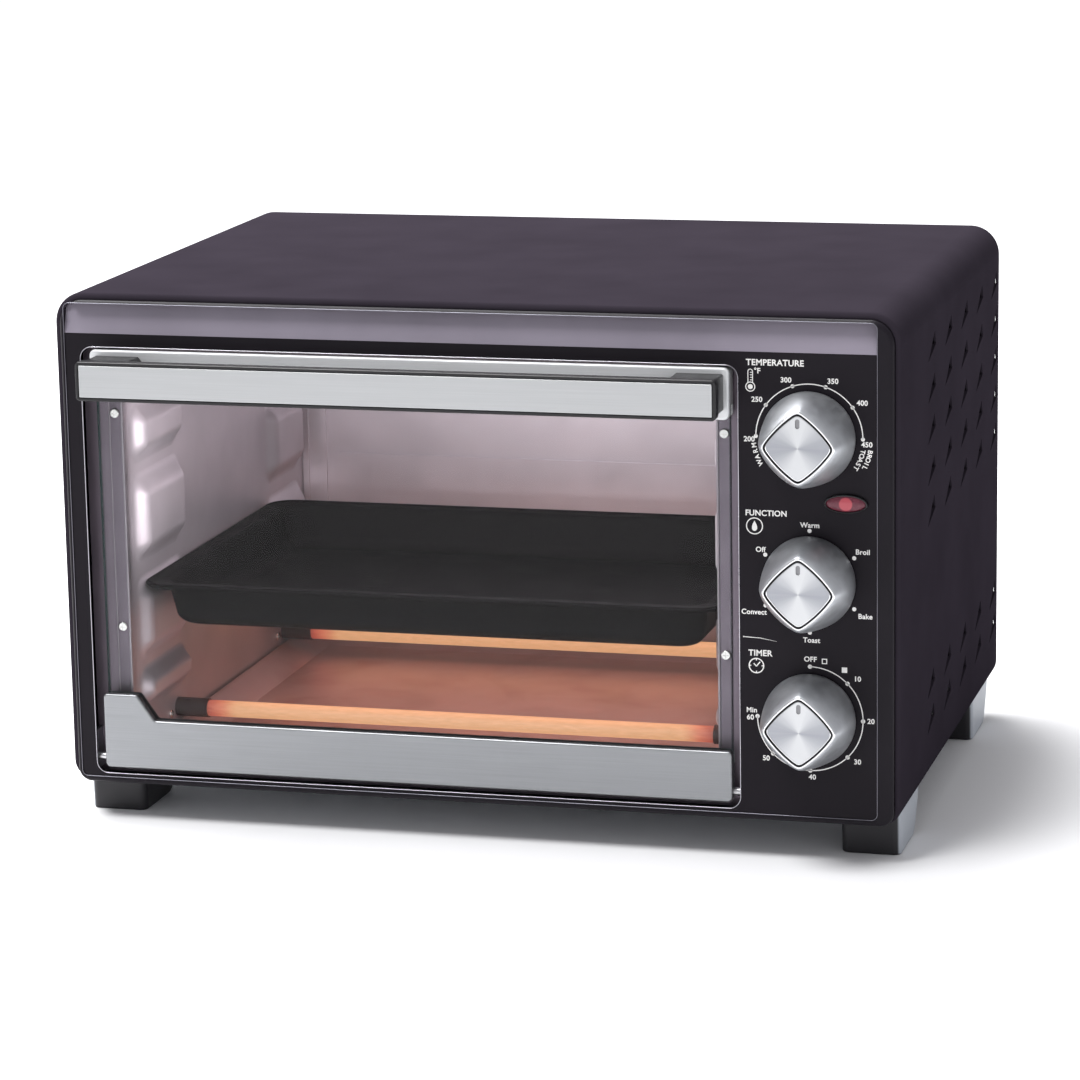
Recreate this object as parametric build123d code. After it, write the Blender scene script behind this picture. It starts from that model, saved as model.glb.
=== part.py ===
from build123d import *
import math
import os

# Counter-top toaster oven, millimetres, +Z up, front facing -Y.
# The origin is the centre of the footprint on the table, in the middle of the overall box.

# ---- driving dimensions -------------------------------------------------------------------
BODY_W = 420.0  # casing width
BODY_H = 247.0  # casing height without the feet
BODY_D = 298.0  # bezel face to rear cover
FOOT_H = 19.0
PROUD = 27.0  # how far the knobs stand in front of the bezel

FRONT = -(BODY_D + PROUD) / 2 + PROUD  # y of the bezel's front face
REAR = FRONT + BODY_D
BASE = FOOT_H  # z of the underside of the body
TOP = BASE + BODY_H

SHEET = 1.0  # casing sheet
THIN = 0.8  # cavity sheet
SCREW_HEAD = 1.8
R_TOP = 15.0  # casing corner radii seen from the front
R_BOTTOM = 10.0
EDGE_R = 2.5  # rolled front edge of the casing
CASE_SETBACK = 3.0
BEZEL_INSET = 3.2
BEZEL_D = 9.0
SEAM = 0.2
CUT = 1.0  # how far a cutting shape runs past the surface it cuts

PANEL_X = (-204.5, 199.0)  # inner front panel
PANEL_Z = (BASE + 3.0, BASE + 227.5)
PANEL_Y = FRONT + 0.8
PANEL_T = 1.2
STRIP_TOP = BASE + 242.5  # upper edge of the sloping header strip
STRIP_T = 1.6
STRIP_LEAN = 4.8  # how far the strip leans back over its height
WINDOW_R = 3.0  # corner radius of the bezel's window
WINDOW_STEP = (0.5, 0.3)  # width and depth of the rebate around the window

OPEN_X = (-196.5, 132.5)  # door opening
OPEN_Z = (BASE + 5.0, BASE + 220.8)
OPEN_R = 6.0

DOOR_X = (-191.5, 128.5)
DOOR_Z = (BASE + 8.3, BASE + 219.6)
TRIM_Y = (FRONT - 0.5, FRONT + 8.5)
TOP_TRIM_Z = (BASE + 194.5, DOOR_Z[1])
BOTTOM_TRIM_Z = (DOOR_Z[0], BASE + 33.2)
TAB_W = 17.8  # raised end of the bottom trim
TAB_Z = BASE + 46.0
TAB_SLOPE = 9.0
GLASS_Y = (FRONT + 3.0, FRONT + 7.0)
GLASS_LAP = 6.5  # depth of glass held in each trim

HINGE_Y = FRONT + 5.0
HINGE_Z = BASE + 12.5
PIN_R = 2.0
PIN_CLEAR = 0.05
PIN_IN = 12.0
PIN_OUT = 8.6
BRACKET_OUT = (5.6, 7.6)  # hinge bracket, outwards from the door's end
BRACKET_Z = (BASE + 6.0, BASE + 26.0)

BAR_X = (-190.0, 127.3)  # handle bar
BAR_Z = (BASE + 198.3, BASE + 217.5)
BAR_Y = (FRONT - 23.5, FRONT - 16.5)
BAR_R = 2.2
BAR_RIM = 1.4  # width of the bar showing around its metal face
FACE_RECESS = 1.6
POST_W = 28.0
POST_IN = 1.5  # from the bar's end to the post
POST_SHORT = 0.8  # the post is this much lower than the bar, above and below
POST_WEDGE = (6.0, 8.0)  # width and height of the slope on the post's inner side

CAVITY_X = (-180.5, 120.0)  # inner faces of the oven cavity
CAVITY_Y = (FRONT + 12.8, FRONT + 288.0)
CAVITY_Z = (BASE + 6.0, BASE + 224.0)
SUPPORT_DEPTH = 6.0  # how far the rack supports stand out from the side walls
SUPPORT_ROWS = (  # lower edge, upper edge and width of the sloping border
    (32.0, 52.0, 6.5), (58.0, 98.5, 9.0), (108.0, 151.0, 9.0), (158.5, 187.0, 9.0))
SUPPORT_COLUMNS = (  # y limits and rows: the highest row only stops a rack from tipping
    ((FRONT + 22.0, FRONT + 90.0), SUPPORT_ROWS),
    ((FRONT + 222.0, FRONT + 282.0), SUPPORT_ROWS[:3]),
)
SUPPORT_R = 9.5  # corner radius at the wall
SUPPORT_FACE_R = 2.5
RIB_Z = (BASE + 92.5, BASE + 113.5)  # pressed rib across the back wall
RIB_SIDE = 20.0
RIB_DEPTH = 1.2
CORNER_BEADS = ((1.0, 4.0), (11.0, 14.5))  # upright beads, measured from each side wall
BEAD_DEPTH = 1.5
FLANGE_Z = (BASE + 3.2, BASE + 229.0)  # frame around the cavity's mouth
FLANGE_LAP = 3.0  # flange behind the panel
FLANGE_R = 3.0
TRAY_GAP = (1.5, 4.0, 2.0)  # crumb tray to the sides, the front and the back of the cavity
TRAY_LIFT = 0.2
TRAY_H = 8.0
TRAY_SLOPE = 16.0
TRAY_R = 3.0

HEATER_Y = (FRONT + 76.0, FRONT + 246.0)
HEATER_LOW_Z = BASE + 20.5
HEATER_HIGH_Z = BASE + 212.0
TUBE_R = 4.2
TUBE_BORE = 3.4
COIL_R = 2.0
CAP_R = 4.9
CAP_HOLE_R = 5.0
CAP_IN = 17.0  # end cap showing inside the cavity
CAP_OUT = 9.0  # end cap behind the cavity wall
CAP_BORE_D = 13.0

PAN_SIDE = 1.5  # gap between the pan and each side wall
PAN_X = (CAVITY_X[0] + PAN_SIDE, CAVITY_X[1] - PAN_SIDE)
PAN_Y = (FRONT + 21.0, FRONT + 233.0)
PAN_TOP = BASE + 97.8
PAN_BEAD = 2.6  # thickness of the rolled edge, which slides on the second row of supports
PAN_BEAD_W = 3.2
PAN_H = 24.0
PAN_T = 1.0
PAN_FLANGE = 10.0  # from the outer edge to the well
PAN_TAPER = 12.0
PAN_CORNER = (12.0, 14.0)  # plan radii of the rim and of the well
PAN_BEND = 9.0  # outside radius where the pan's walls meet its floor

KNOB_X = 166.5
CONTROL_SCREW_X = 13.0  # the two screws of a control, either side of its shaft
CONTROL_SCREW_HOLE_R = 1.7
KNOB_Z = {"temperature": BASE + 187.4, "function": BASE + 118.2, "timer": BASE + 51.5}
KNOB_R = 22.3
KNOB_BACK = FRONT - 0.4
KNOB_FRONT = FRONT - PROUD
KNOB_SKIRT = 3.0
KNOB_GRIP_Y = FRONT - 21.5  # where the dome has become a rounded square
GRIP_SIDE = 27.2
GRIP_R = 5.5
FACE_SIDE = 24.6
FACE_R = 4.4
FACE_T = 1.2
SHAFT_R = 3.0
SHAFT_CLEAR = 0.05
SHAFT_IN = 16.0  # shaft inside the knob
SKIRT_HOLLOW = (18.0, 4.5)  # radius and depth of the hollow behind the knob
POINTER = (1.8, 4.2, 0.6)  # width, length and depth of the slot in the knob's face
BUSH_R = 5.0

LAMP_X = 184.1
LAMP_Z = BASE + 156.5
LAMP_RX = 10.5
LAMP_RZ = 4.7
LAMP_LIP = 1.0
LAMP_PROUD = 2.0  # lens in front of the panel
NEON_R = 2.6
NEON_HOLDER = (7.0, 9.0, 5.5)  # half width, depth and half height

FAN_Y = FRONT + 135.0
FAN_Z = BASE + 142.0
FAN_R = 40.0
FAN_SHAFT_R = 2.0
FAN_GRILLE = ((0, 1), (10, 6), (20, 12), (30, 18))  # ring radius and number of holes
FAN_HOLE_R = 3.0
FAN_CUP_D = 16.0
FAN_CUP_GAP = 6.0  # between the fan and its cup
MOTOR_D = 22.0

VENT_Y = [FRONT + 85.0 + 48.5 * column for column in range(5)]
VENT_Z = [BASE + z for z in (216.0, 195.7, 175.4, 155.1, 134.8, 48.0, 30.0)]
VENT_R = 3.7
VENT_LENGTH = 20.0
VENT_DROP = 25.0  # the louvres slope down towards the front, degrees

CORD_X = 165.0
CORD_Z = BASE + 42.0
CORD_R = 4.0
CORD_HOLE_R = 8.0
BUSH_FLANGE = (10.5, 2.0)  # radius and thickness of the cord bush's inner flange
BUSH_TAIL = 6.0

FOOT_W = 29.0
FOOT_X = 207.0  # outer face
FOOT_Y = (FRONT + 17.0, FRONT + 232.0)  # front face of each foot
FOOT_L = 50.0
FOOT_SOLE = 34.0
FOOT_LAP = 3.0  # foot let into the casing's lower corner
FOOT_EDGE_R = 4.0
FOOT_SCREW = (16.5, 20.0)  # in from the outer face, back from the front face
FOOT_COUNTERBORE = (4.0, 9.0)  # radius and depth

parts = {}


# ---- helpers ------------------------------------------------------------------------------
def block(x, y, z):
    """Box between two limits on each axis."""
    size = [high - low for low, high in (x, y, z)]
    middle = [(low + high) / 2 for low, high in (x, y, z)]
    return Pos(*middle) * Box(*size)


def plate(sketch, y0, y1):
    """Extrude a sketch drawn as (x, z) from y0 back to y1."""
    placed = Plane((0, y1, 0), x_dir=(1, 0, 0), z_dir=(0, -1, 0)) * sketch
    return extrude(placed, y1 - y0, dir=(0, -1, 0))


def side_plate(sketch, x0, x1):
    """Extrude a sketch drawn as (y, z) from x0 to x1."""
    placed = Plane((x0, 0, 0), x_dir=(0, 1, 0), z_dir=(1, 0, 0)) * sketch
    return extrude(placed, x1 - x0, dir=(1, 0, 0))


def rect(x, z, radius=0.0):
    """Rectangle between limits, with rounded corners."""
    shape = Rectangle(x[1] - x[0], z[1] - z[0])
    if radius:
        shape = RectangleRounded(x[1] - x[0], z[1] - z[0], radius)
    return Pos((x[0] + x[1]) / 2, (z[0] + z[1]) / 2) * shape


def rod_x(x0, x1, y, z, radius):
    return Pos((x0 + x1) / 2, y, z) * Rot(0, 90, 0) * Cylinder(radius, x1 - x0)


def rod_y(y0, y1, x, z, radius):
    return Pos(x, (y0 + y1) / 2, z) * Rot(90, 0, 0) * Cylinder(radius, y1 - y0)


def rod_z(z0, z1, x, y, radius):
    return Pos(x, y, (z0 + z1) / 2) * Cylinder(radius, z1 - z0)


def group(solids):
    return Compound(children=list(solids))


def body_outline(side, bottom):
    """Front outline of the body, drawn in from its sides and its bottom."""
    x = BODY_W / 2 - side
    shape = rect((-x, x), (BASE + bottom, TOP - side))
    shape = fillet(shape.vertices().group_by(Axis.Y)[-1], R_TOP - side)
    return fillet(shape.vertices().group_by(Axis.Y)[0], R_BOTTOM - max(side, bottom))


def screw(head_r, head_h, shank_r, shank_l):
    """Pan-head screw with its head up and its underside at the origin."""
    head = extrude(Circle(head_r), head_h)
    head = fillet(head.edges().group_by(Axis.Z)[-1], head_h * 0.45)
    slot = Pos(0, 0, head_h) * (Box(head_r * 1.1, 0.5, 1.0) + Box(0.5, head_r * 1.1, 1.0))
    return head - slot + Pos(0, 0, -shank_l / 2) * Cylinder(shank_r, shank_l)


FACING = {
    "front": Rot(90, 0, 0),
    "rear": Rot(-90, 0, 0),
    "right": Rot(0, 90, 0),
    "left": Rot(0, -90, 0),
    "down": Rot(180, 0, 0),
}


def screws(places, facing, head_r=3.2, head_h=SCREW_HEAD, shank_r=1.6, shank_l=5.0):
    one = FACING[facing] * screw(head_r, head_h, shank_r, shank_l)
    return group(Pos(*place) * one for place in places)


# ---- casing -------------------------------------------------------------------------------
COVER_Y = (REAR - SCREW_HEAD - THIN, REAR - SCREW_HEAD)  # rear cover
CASE_Y = (FRONT + CASE_SETBACK, COVER_Y[0])
HEM_X = 198.0
HEM_Z = BASE + 3.0
PAN_EDGE_X = 197.5  # folded sides of the base pan
BASE_SLOT = (34.0, 5.0)
BASE_SLOT_X = [-150.0 + 60.0 * column for column in range(6)]
BASE_SLOT_Y = [FRONT + 95.0 + 36.0 * row for row in range(4)]
COVER_SLOT = (44.0, 4.5)
COVER_SLOT_X = [-130.0 + 62.0 * column for column in range(5)]
COVER_SLOT_Z = [BASE + 70.0 + 15.0 * row for row in range(9)]
VENT_TIP_R = 0.3
VENT_MOUTH = 1.6  # length of the cut that opens a louvre


def vent_cone(radius, side):
    """Half-buried cone along a louvre: wide at the back, a point at the front."""
    cone = Cone(radius, VENT_TIP_R, VENT_LENGTH)
    return Pos(side * BODY_W / 2, 0, 0) * Rot(90 + VENT_DROP, 0, 0) * cone


def vent_mouth(side):
    """Opening behind each louvre's wide end."""
    drop = math.radians(VENT_DROP)
    back = (VENT_LENGTH + VENT_MOUTH) / 2 - 0.2
    mouth = Rot(90 + VENT_DROP, 0, 0) * Cylinder(VENT_R, VENT_MOUTH)
    return Pos(side * BODY_W / 2, back * math.cos(drop), back * math.sin(drop)) * mouth


def outer_casing():
    shell = plate(body_outline(0, 0), *CASE_Y)
    shell = fillet(shell.faces().sort_by(Axis.Y)[0].edges(), EDGE_R)
    hollow = plate(body_outline(SHEET, SHEET), CASE_Y[0] + SHEET, CASE_Y[1])
    hollow = fillet(hollow.faces().sort_by(Axis.Y)[0].edges(), EDGE_R - SHEET)
    mouth = plate(body_outline(BEZEL_INSET - SEAM, -SEAM), CASE_Y[0] - CUT, FRONT + BEZEL_D + SEAM)
    gap_y = (CASE_Y[0] - CUT, CASE_Y[1] + CUT)
    floor_gap = block((-HEM_X, HEM_X), gap_y, (BASE - CUT, HEM_Z))
    shell = shell - hollow - mouth - floor_gap
    hoods = []
    cuts = []
    for side in (-1, 1):
        for y in VENT_Y:
            for z in VENT_Z:
                hoods.append(Pos(0, y, z) * vent_cone(VENT_R + THIN, side))
                cuts.append(Pos(0, y, z) * vent_cone(VENT_R, side))
                cuts.append(Pos(0, y, z) * vent_mouth(side))
    shell = shell.fuse(*hoods)
    for side in (-1, 1):
        outside = sorted((side * BODY_W / 2, side * BODY_W))
        cuts.append(block(outside, (FRONT, REAR), (BASE, TOP)))
    return shell.cut(*cuts)


def window_outline(gap):
    """Outline of the bezel's window, or of a plate that fits it with a gap."""
    x = (PANEL_X[0] + gap, PANEL_X[1] - gap)
    return rect(x, (PANEL_Z[0] + gap, STRIP_TOP - gap), WINDOW_R)


def front_bezel():
    """Moulded ring around the whole front, its outer edge rounded."""
    ring = plate(body_outline(BEZEL_INSET, 0), FRONT, FRONT + BEZEL_D)
    ring = fillet(ring.faces().sort_by(Axis.Y)[0].edges(), EDGE_R)
    ring -= plate(window_outline(0), FRONT - CUT, FRONT + BEZEL_D + CUT)
    return ring - plate(window_outline(-WINDOW_STEP[0]), FRONT - CUT, FRONT + WINDOW_STEP[1])


def header_strip():
    """Sloping strip that leans back above the panel."""
    profile = Polygon(
        (PANEL_Y, PANEL_Z[1]), (PANEL_Y + STRIP_T, PANEL_Z[1]),
        (PANEL_Y + STRIP_T + STRIP_LEAN, STRIP_TOP), (PANEL_Y + STRIP_LEAN, STRIP_TOP), align=None)
    return side_plate(profile, *PANEL_X) & plate(window_outline(0.15), FRONT, FRONT + BEZEL_D)


def front_panel():
    gap = 0.1
    through = (PANEL_Y - CUT, PANEL_Y + PANEL_T + CUT)
    panel = plate(window_outline(gap), PANEL_Y, PANEL_Y + PANEL_T)
    panel -= block(PANEL_X, (FRONT, REAR), (PANEL_Z[1] - gap, STRIP_TOP))
    panel -= plate(rect(OPEN_X, OPEN_Z, OPEN_R), *through)
    for z in KNOB_Z.values():
        panel -= rod_y(*through, KNOB_X, z, BUSH_R + gap)
        for side in (-1, 1):
            panel -= rod_y(*through, KNOB_X + side * CONTROL_SCREW_X, z, CONTROL_SCREW_HOLE_R)
    return panel - plate(Pos(LAMP_X, LAMP_Z) * Ellipse(LAMP_RX, LAMP_RZ), *through)


def base_pan():
    x = (-PAN_EDGE_X, PAN_EDGE_X)
    y = (FRONT + BEZEL_D + 0.5, COVER_Y[0])
    pan = block(x, y, (BASE, BASE + SHEET))
    for low in (x[0], x[1] - SHEET):
        pan += block((low, low + SHEET), y, (BASE, HEM_Z))
    slots = [Pos(slot_x, slot_y, BASE) * Box(*BASE_SLOT, 4 * SHEET)
             for slot_x in BASE_SLOT_X for slot_y in BASE_SLOT_Y]
    return pan.cut(*slots)


def rear_cover():
    cover = plate(body_outline(2.0, 3.0), *COVER_Y)
    slots = [Pos(x, COVER_Y[0], z) * Box(COVER_SLOT[0], 4 * THIN, COVER_SLOT[1])
             for x in COVER_SLOT_X for z in COVER_SLOT_Z]
    cover = cover.cut(*slots)
    return cover - rod_y(COVER_Y[0] - CUT, REAR, CORD_X, CORD_Z, CORD_HOLE_R)


def cord_bush():
    """Strain-relief bush in the rear cover, with the bore that a mains lead leaves by."""
    flange_r, flange_t = BUSH_FLANGE
    tail = COVER_Y[0] - BUSH_TAIL
    bush = rod_y(tail, REAR, CORD_X, CORD_Z, CORD_HOLE_R - 0.1)
    bush += rod_y(COVER_Y[0] - flange_t, COVER_Y[0], CORD_X, CORD_Z, flange_r)
    bush += rod_y(COVER_Y[1], REAR, CORD_X, CORD_Z, flange_r)
    return bush - rod_y(tail - CUT, REAR + CUT, CORD_X, CORD_Z, CORD_R)


parts["outer_casing"] = outer_casing()
parts["front_bezel"] = front_bezel()
parts["header_strip"] = header_strip()
parts["front_panel"] = front_panel()
parts["base_pan"] = base_pan()
parts["rear_cover"] = rear_cover()
parts["cord_inlet_bush"] = cord_bush()


# ---- feet ---------------------------------------------------------------------------------
def foot_screw_x(side):
    return side * (FOOT_X - FOOT_SCREW[0])


def foot(side, front):
    """Block foot: flat sole, upright front, and a back that curves away upwards."""
    top = BASE + FOOT_LAP
    back = front + FOOT_L
    outline = Polyline((back, top), (front, top), (front + 1.0, 0), (front + FOOT_SOLE, 0))
    curve = Spline(
        (front + FOOT_SOLE, 0), (back - 5, BASE * 0.55), (back, top), tangents=((1, 0.25), (0.1, 1)))
    x = sorted((side * FOOT_X, side * (FOOT_X - FOOT_W)))
    solid = side_plate(make_face(outline + curve), *x)
    front_edges = solid.faces().sort_by(Axis.Y)[0].edges().filter_by(Axis.Z, tolerance=4)
    solid = fillet(front_edges, FOOT_EDGE_R)
    solid = fillet(solid.faces().sort_by(Axis.Z)[0].edges(), 1.0)
    solid -= plate(body_outline(0, 0), FRONT, REAR)
    bore_r, bore_d = FOOT_COUNTERBORE
    place = (foot_screw_x(side), front + FOOT_SCREW[1])
    return solid - rod_z(-CUT, bore_d, *place, bore_r) - rod_z(0, 2 * BASE, *place, 1.7)


FEET = {
    "foot_front_left": (-1, FOOT_Y[0]),
    "foot_front_right": (1, FOOT_Y[0]),
    "foot_rear_left": (-1, FOOT_Y[1]),
    "foot_rear_right": (1, FOOT_Y[1]),
}
foot_screw_places = []
for name, (side, front) in FEET.items():
    parts[name] = foot(side, front)
    foot_screw_places.append((foot_screw_x(side), front + FOOT_SCREW[1], FOOT_COUNTERBORE[1]))
parts["foot_screws"] = screws(foot_screw_places, "down", shank_l=9.5)


# ---- oven cavity --------------------------------------------------------------------------
def support(y, z, border, depth, inset):
    """Pressed rack support on the left wall, as a block with four sloping borders."""
    width = y[1] - y[0]
    height = z[1] - z[0]
    middle = ((y[0] + y[1]) / 2, (z[0] + z[1]) / 2)
    wall = Plane((CAVITY_X[0] - THIN, 0, 0), x_dir=(0, 1, 0), z_dir=(1, 0, 0))
    foot = RectangleRounded(width - 2 * inset, height - 2 * inset, SUPPORT_R - inset)
    shrink = 2 * (border + inset)
    face = RectangleRounded(width - shrink, height - shrink, SUPPORT_FACE_R - inset)
    return loft([wall * Pos(*middle) * foot, wall * Pos(*middle, depth) * face], ruled=True)


def support_blocks(depth, inset):
    """All the supports of one wall, either their outsides or their hollow backs."""
    return [
        support(column, (BASE + low, BASE + high), border, depth, inset)
        for column, rows in SUPPORT_COLUMNS for low, high, border in rows]


def rack_supports():
    outsides = support_blocks(SUPPORT_DEPTH + THIN, 0.0)
    hollows = support_blocks(SUPPORT_DEPTH, 0.3)
    return group(outside - hollow for outside, hollow in zip(outsides, hollows))


def cavity_side():
    """Left wall: a flat sheet, open where the rack supports are pressed out of it."""
    wall = block((CAVITY_X[0] - THIN, CAVITY_X[0]), CAVITY_Y, CAVITY_Z)
    cuts = support_blocks(SUPPORT_DEPTH + THIN, 0.0)
    for y in HEATER_Y:
        for z in (HEATER_LOW_Z, HEATER_HIGH_Z):
            cuts.append(rod_x(CAVITY_X[0] - THIN - CUT, CAVITY_X[0] + CUT, y, z, CAP_HOLE_R))
    return wall.cut(*cuts)


def to_right(shape):
    """Mirror a left-wall shape onto the right wall."""
    return Pos(CAVITY_X[0] + CAVITY_X[1], 0, 0) * mirror(shape, Plane.YZ)


def cavity_right():
    """Right wall, with the convection fan's grille between the rack supports."""
    wall = to_right(parts["cavity_left_wall"])
    holes = []
    for ring, count in FAN_GRILLE:
        for step in range(count):
            angle = 2 * math.pi * step / count
            y = FAN_Y + ring * math.cos(angle)
            z = FAN_Z + ring * math.sin(angle)
            holes.append(rod_x(CAVITY_X[1] - CUT, CAVITY_X[1] + THIN + CUT, y, z, FAN_HOLE_R))
    return wall.cut(*holes)


def cavity_back():
    """Back wall with one shallow pressed rib across it and upright beads in its corners."""
    x = (CAVITY_X[0] - THIN, CAVITY_X[1] + THIN)
    face = CAVITY_Y[1]
    wall = block(x, (face, face + THIN), CAVITY_Z)
    rib_x = (CAVITY_X[0] + RIB_SIDE, CAVITY_X[1] - RIB_SIDE)
    rib = rect(rib_x, RIB_Z, 2.0)
    wall += plate(rib, face - RIB_DEPTH, face)
    wall -= plate(offset(rib, -THIN), face - RIB_DEPTH + THIN, face + THIN)
    bead_z = (CAVITY_Z[0] + 10, CAVITY_Z[1] - 2)
    for low, high in CORNER_BEADS:
        wall += block((CAVITY_X[0] + low, CAVITY_X[0] + high), (face - BEAD_DEPTH, face), bead_z)
        wall += block((CAVITY_X[1] - high, CAVITY_X[1] - low), (face - BEAD_DEPTH, face), bead_z)
    return wall


def cavity_lid(z):
    return block((CAVITY_X[0] - THIN, CAVITY_X[1] + THIN), (CAVITY_Y[0], CAVITY_Y[1] + THIN),
                 (z, z + THIN))


def front_flange():
    """Flat frame around the mouth of the cavity, seen through the edges of the door."""
    y = (CAVITY_Y[0] - THIN, CAVITY_Y[0])
    x = (OPEN_X[0] - FLANGE_LAP, OPEN_X[1] + FLANGE_LAP)
    frame = plate(rect(x, FLANGE_Z), *y)
    return frame - plate(rect(CAVITY_X, CAVITY_Z, FLANGE_R), y[0] - CUT, y[1] + CUT)


def crumb_tray():
    """Shallow tray with sloping sides that covers the cavity's floor."""
    side_gap, front_gap, back_gap = TRAY_GAP
    x = (CAVITY_X[0] + side_gap, CAVITY_X[1] - side_gap)
    y = (CAVITY_Y[0] + front_gap, CAVITY_Y[1] - back_gap)
    z0 = CAVITY_Z[0] + TRAY_LIFT

    def level(z, inset):
        across = (x[0] + inset, x[1] - inset)
        return Pos(0, 0, z) * rect(across, (y[0] + inset, y[1] - inset), TRAY_R)

    def tub(inset, low):
        return loft([level(z0 + low, TRAY_SLOPE + inset), level(z0 + TRAY_H, inset)])

    return tub(0.0, 0.0) - tub(2 * THIN, THIN)


parts["rack_supports_left"] = rack_supports()
parts["rack_supports_right"] = group(
    to_right(one) for one in parts["rack_supports_left"].solids())
parts["cavity_left_wall"] = cavity_side()
parts["cavity_right_wall"] = cavity_right()
parts["cavity_back"] = cavity_back()
parts["cavity_top"] = cavity_lid(CAVITY_Z[1])
parts["cavity_floor"] = cavity_lid(CAVITY_Z[0] - THIN)
parts["cavity_front_flange"] = front_flange()
parts["crumb_tray"] = crumb_tray()


# ---- heaters ------------------------------------------------------------------------------
TUBE_X = (CAVITY_X[0] + CAP_IN - CAP_BORE_D, CAVITY_X[1] - CAP_IN + CAP_BORE_D)


def tubes(z):
    """Pair of quartz tubes across the cavity."""
    return group(
        rod_x(*TUBE_X, y, z, TUBE_R) - rod_x(TUBE_X[0] - 1, TUBE_X[1] + 1, y, z, TUBE_BORE)
        for y in HEATER_Y)


def coils():
    """Resistance coils, one in each quartz tube, as plain rods."""
    return group(
        rod_x(TUBE_X[0] + 1, TUBE_X[1] - 1, y, z, COIL_R)
        for y in HEATER_Y for z in (HEATER_LOW_Z, HEATER_HIGH_Z))


def end_caps():
    """Ceramic holders that carry both ends of each tube through the cavity walls."""
    caps = []
    for y in HEATER_Y:
        for z in (HEATER_LOW_Z, HEATER_HIGH_Z):
            inner = CAVITY_X[0] + CAP_IN
            cap = rod_x(CAVITY_X[0] - CAP_OUT, inner, y, z, CAP_R)
            cap -= rod_x(inner - CAP_BORE_D, inner + 1, y, z, TUBE_R)
            caps.append(cap)
            caps.append(to_right(cap))
    return group(caps)


parts["lower_heater_tubes"] = tubes(HEATER_LOW_Z)
parts["upper_heater_tubes"] = tubes(HEATER_HIGH_Z)
parts["heater_coils"] = coils()
parts["heater_end_caps"] = end_caps()
CAP_SCREW_OFFSET = (-12.0, -1.0)  # from the heater's end, in y and z
FLANGE_SCREW_OUT = 3.5  # from the edge of the cavity's mouth
CAP_SCREW = {"head_r": 2.2, "head_h": 1.2, "shank_r": 1.0, "shank_l": 3.0}
FLANGE_SCREW = {"head_r": 2.4, "head_h": 1.3, "shank_r": 1.0, "shank_l": 3.0}
FLANGE_SCREW_Z = (BASE + 78.0, BASE + 186.0)
cavity_screws = []
for wall_x, facing, outward in ((CAVITY_X[0], "right", -1), (CAVITY_X[1], "left", 1)):
    beside_caps = [
        (wall_x, y + CAP_SCREW_OFFSET[0], z + CAP_SCREW_OFFSET[1])
        for y in HEATER_Y for z in (HEATER_LOW_Z, HEATER_HIGH_Z)]
    flange_x = wall_x + outward * FLANGE_SCREW_OUT
    on_flange = [(flange_x, CAVITY_Y[0] - THIN, z) for z in FLANGE_SCREW_Z]
    cavity_screws += screws(beside_caps, facing, **CAP_SCREW).solids()
    cavity_screws += screws(on_flange, "front", **FLANGE_SCREW).solids()
for name in ("cavity_left_wall", "cavity_right_wall", "cavity_front_flange"):
    parts[name] = parts[name].cut(*cavity_screws)
parts["cavity_screws"] = group(cavity_screws)


# ---- baking pan ---------------------------------------------------------------------------
def baking_pan():
    """Tapered tub with a flat flange and a rolled edge."""
    rim = rect(PAN_X, PAN_Y, PAN_CORNER[0])
    well_x = (PAN_X[0] + PAN_FLANGE, PAN_X[1] - PAN_FLANGE)
    well_y = (PAN_Y[0] + PAN_FLANGE, PAN_Y[1] - PAN_FLANGE)
    mouth = rect(well_x, well_y, PAN_CORNER[1])
    top = Pos(0, 0, PAN_TOP)
    well = extrude(top * mouth, -PAN_H, taper=PAN_TAPER)
    well = fillet(well.edges().group_by(Axis.Z)[0], PAN_BEND)
    hollow = extrude(top * offset(mouth, -PAN_T), -(PAN_H - PAN_T), taper=PAN_TAPER)
    hollow = fillet(hollow.edges().group_by(Axis.Z)[0], PAN_BEND - PAN_T)
    flange = extrude(top * rim, -PAN_T)
    edge = extrude(top * (rim - offset(rim, -PAN_BEAD_W)), -PAN_BEAD)
    edge = fillet(edge.edges().group_by(Axis.Z)[0], 1.2)
    return flange + edge + well - hollow


parts["baking_pan"] = baking_pan()


# ---- door ---------------------------------------------------------------------------------
def glass_slot(z):
    x = (DOOR_X[0] - 1, DOOR_X[1] + 1)
    return block(x, (GLASS_Y[0] - 0.1, GLASS_Y[1] + 0.1), z)


def top_trim():
    trim = plate(rect(DOOR_X, TOP_TRIM_Z, 3.0), *TRIM_Y)
    trim = fillet(trim.faces().sort_by(Axis.Y)[0].edges(), 1.2)
    return trim - glass_slot((TOP_TRIM_Z[0] - 1, TOP_TRIM_Z[0] + GLASS_LAP + 0.3))


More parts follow.
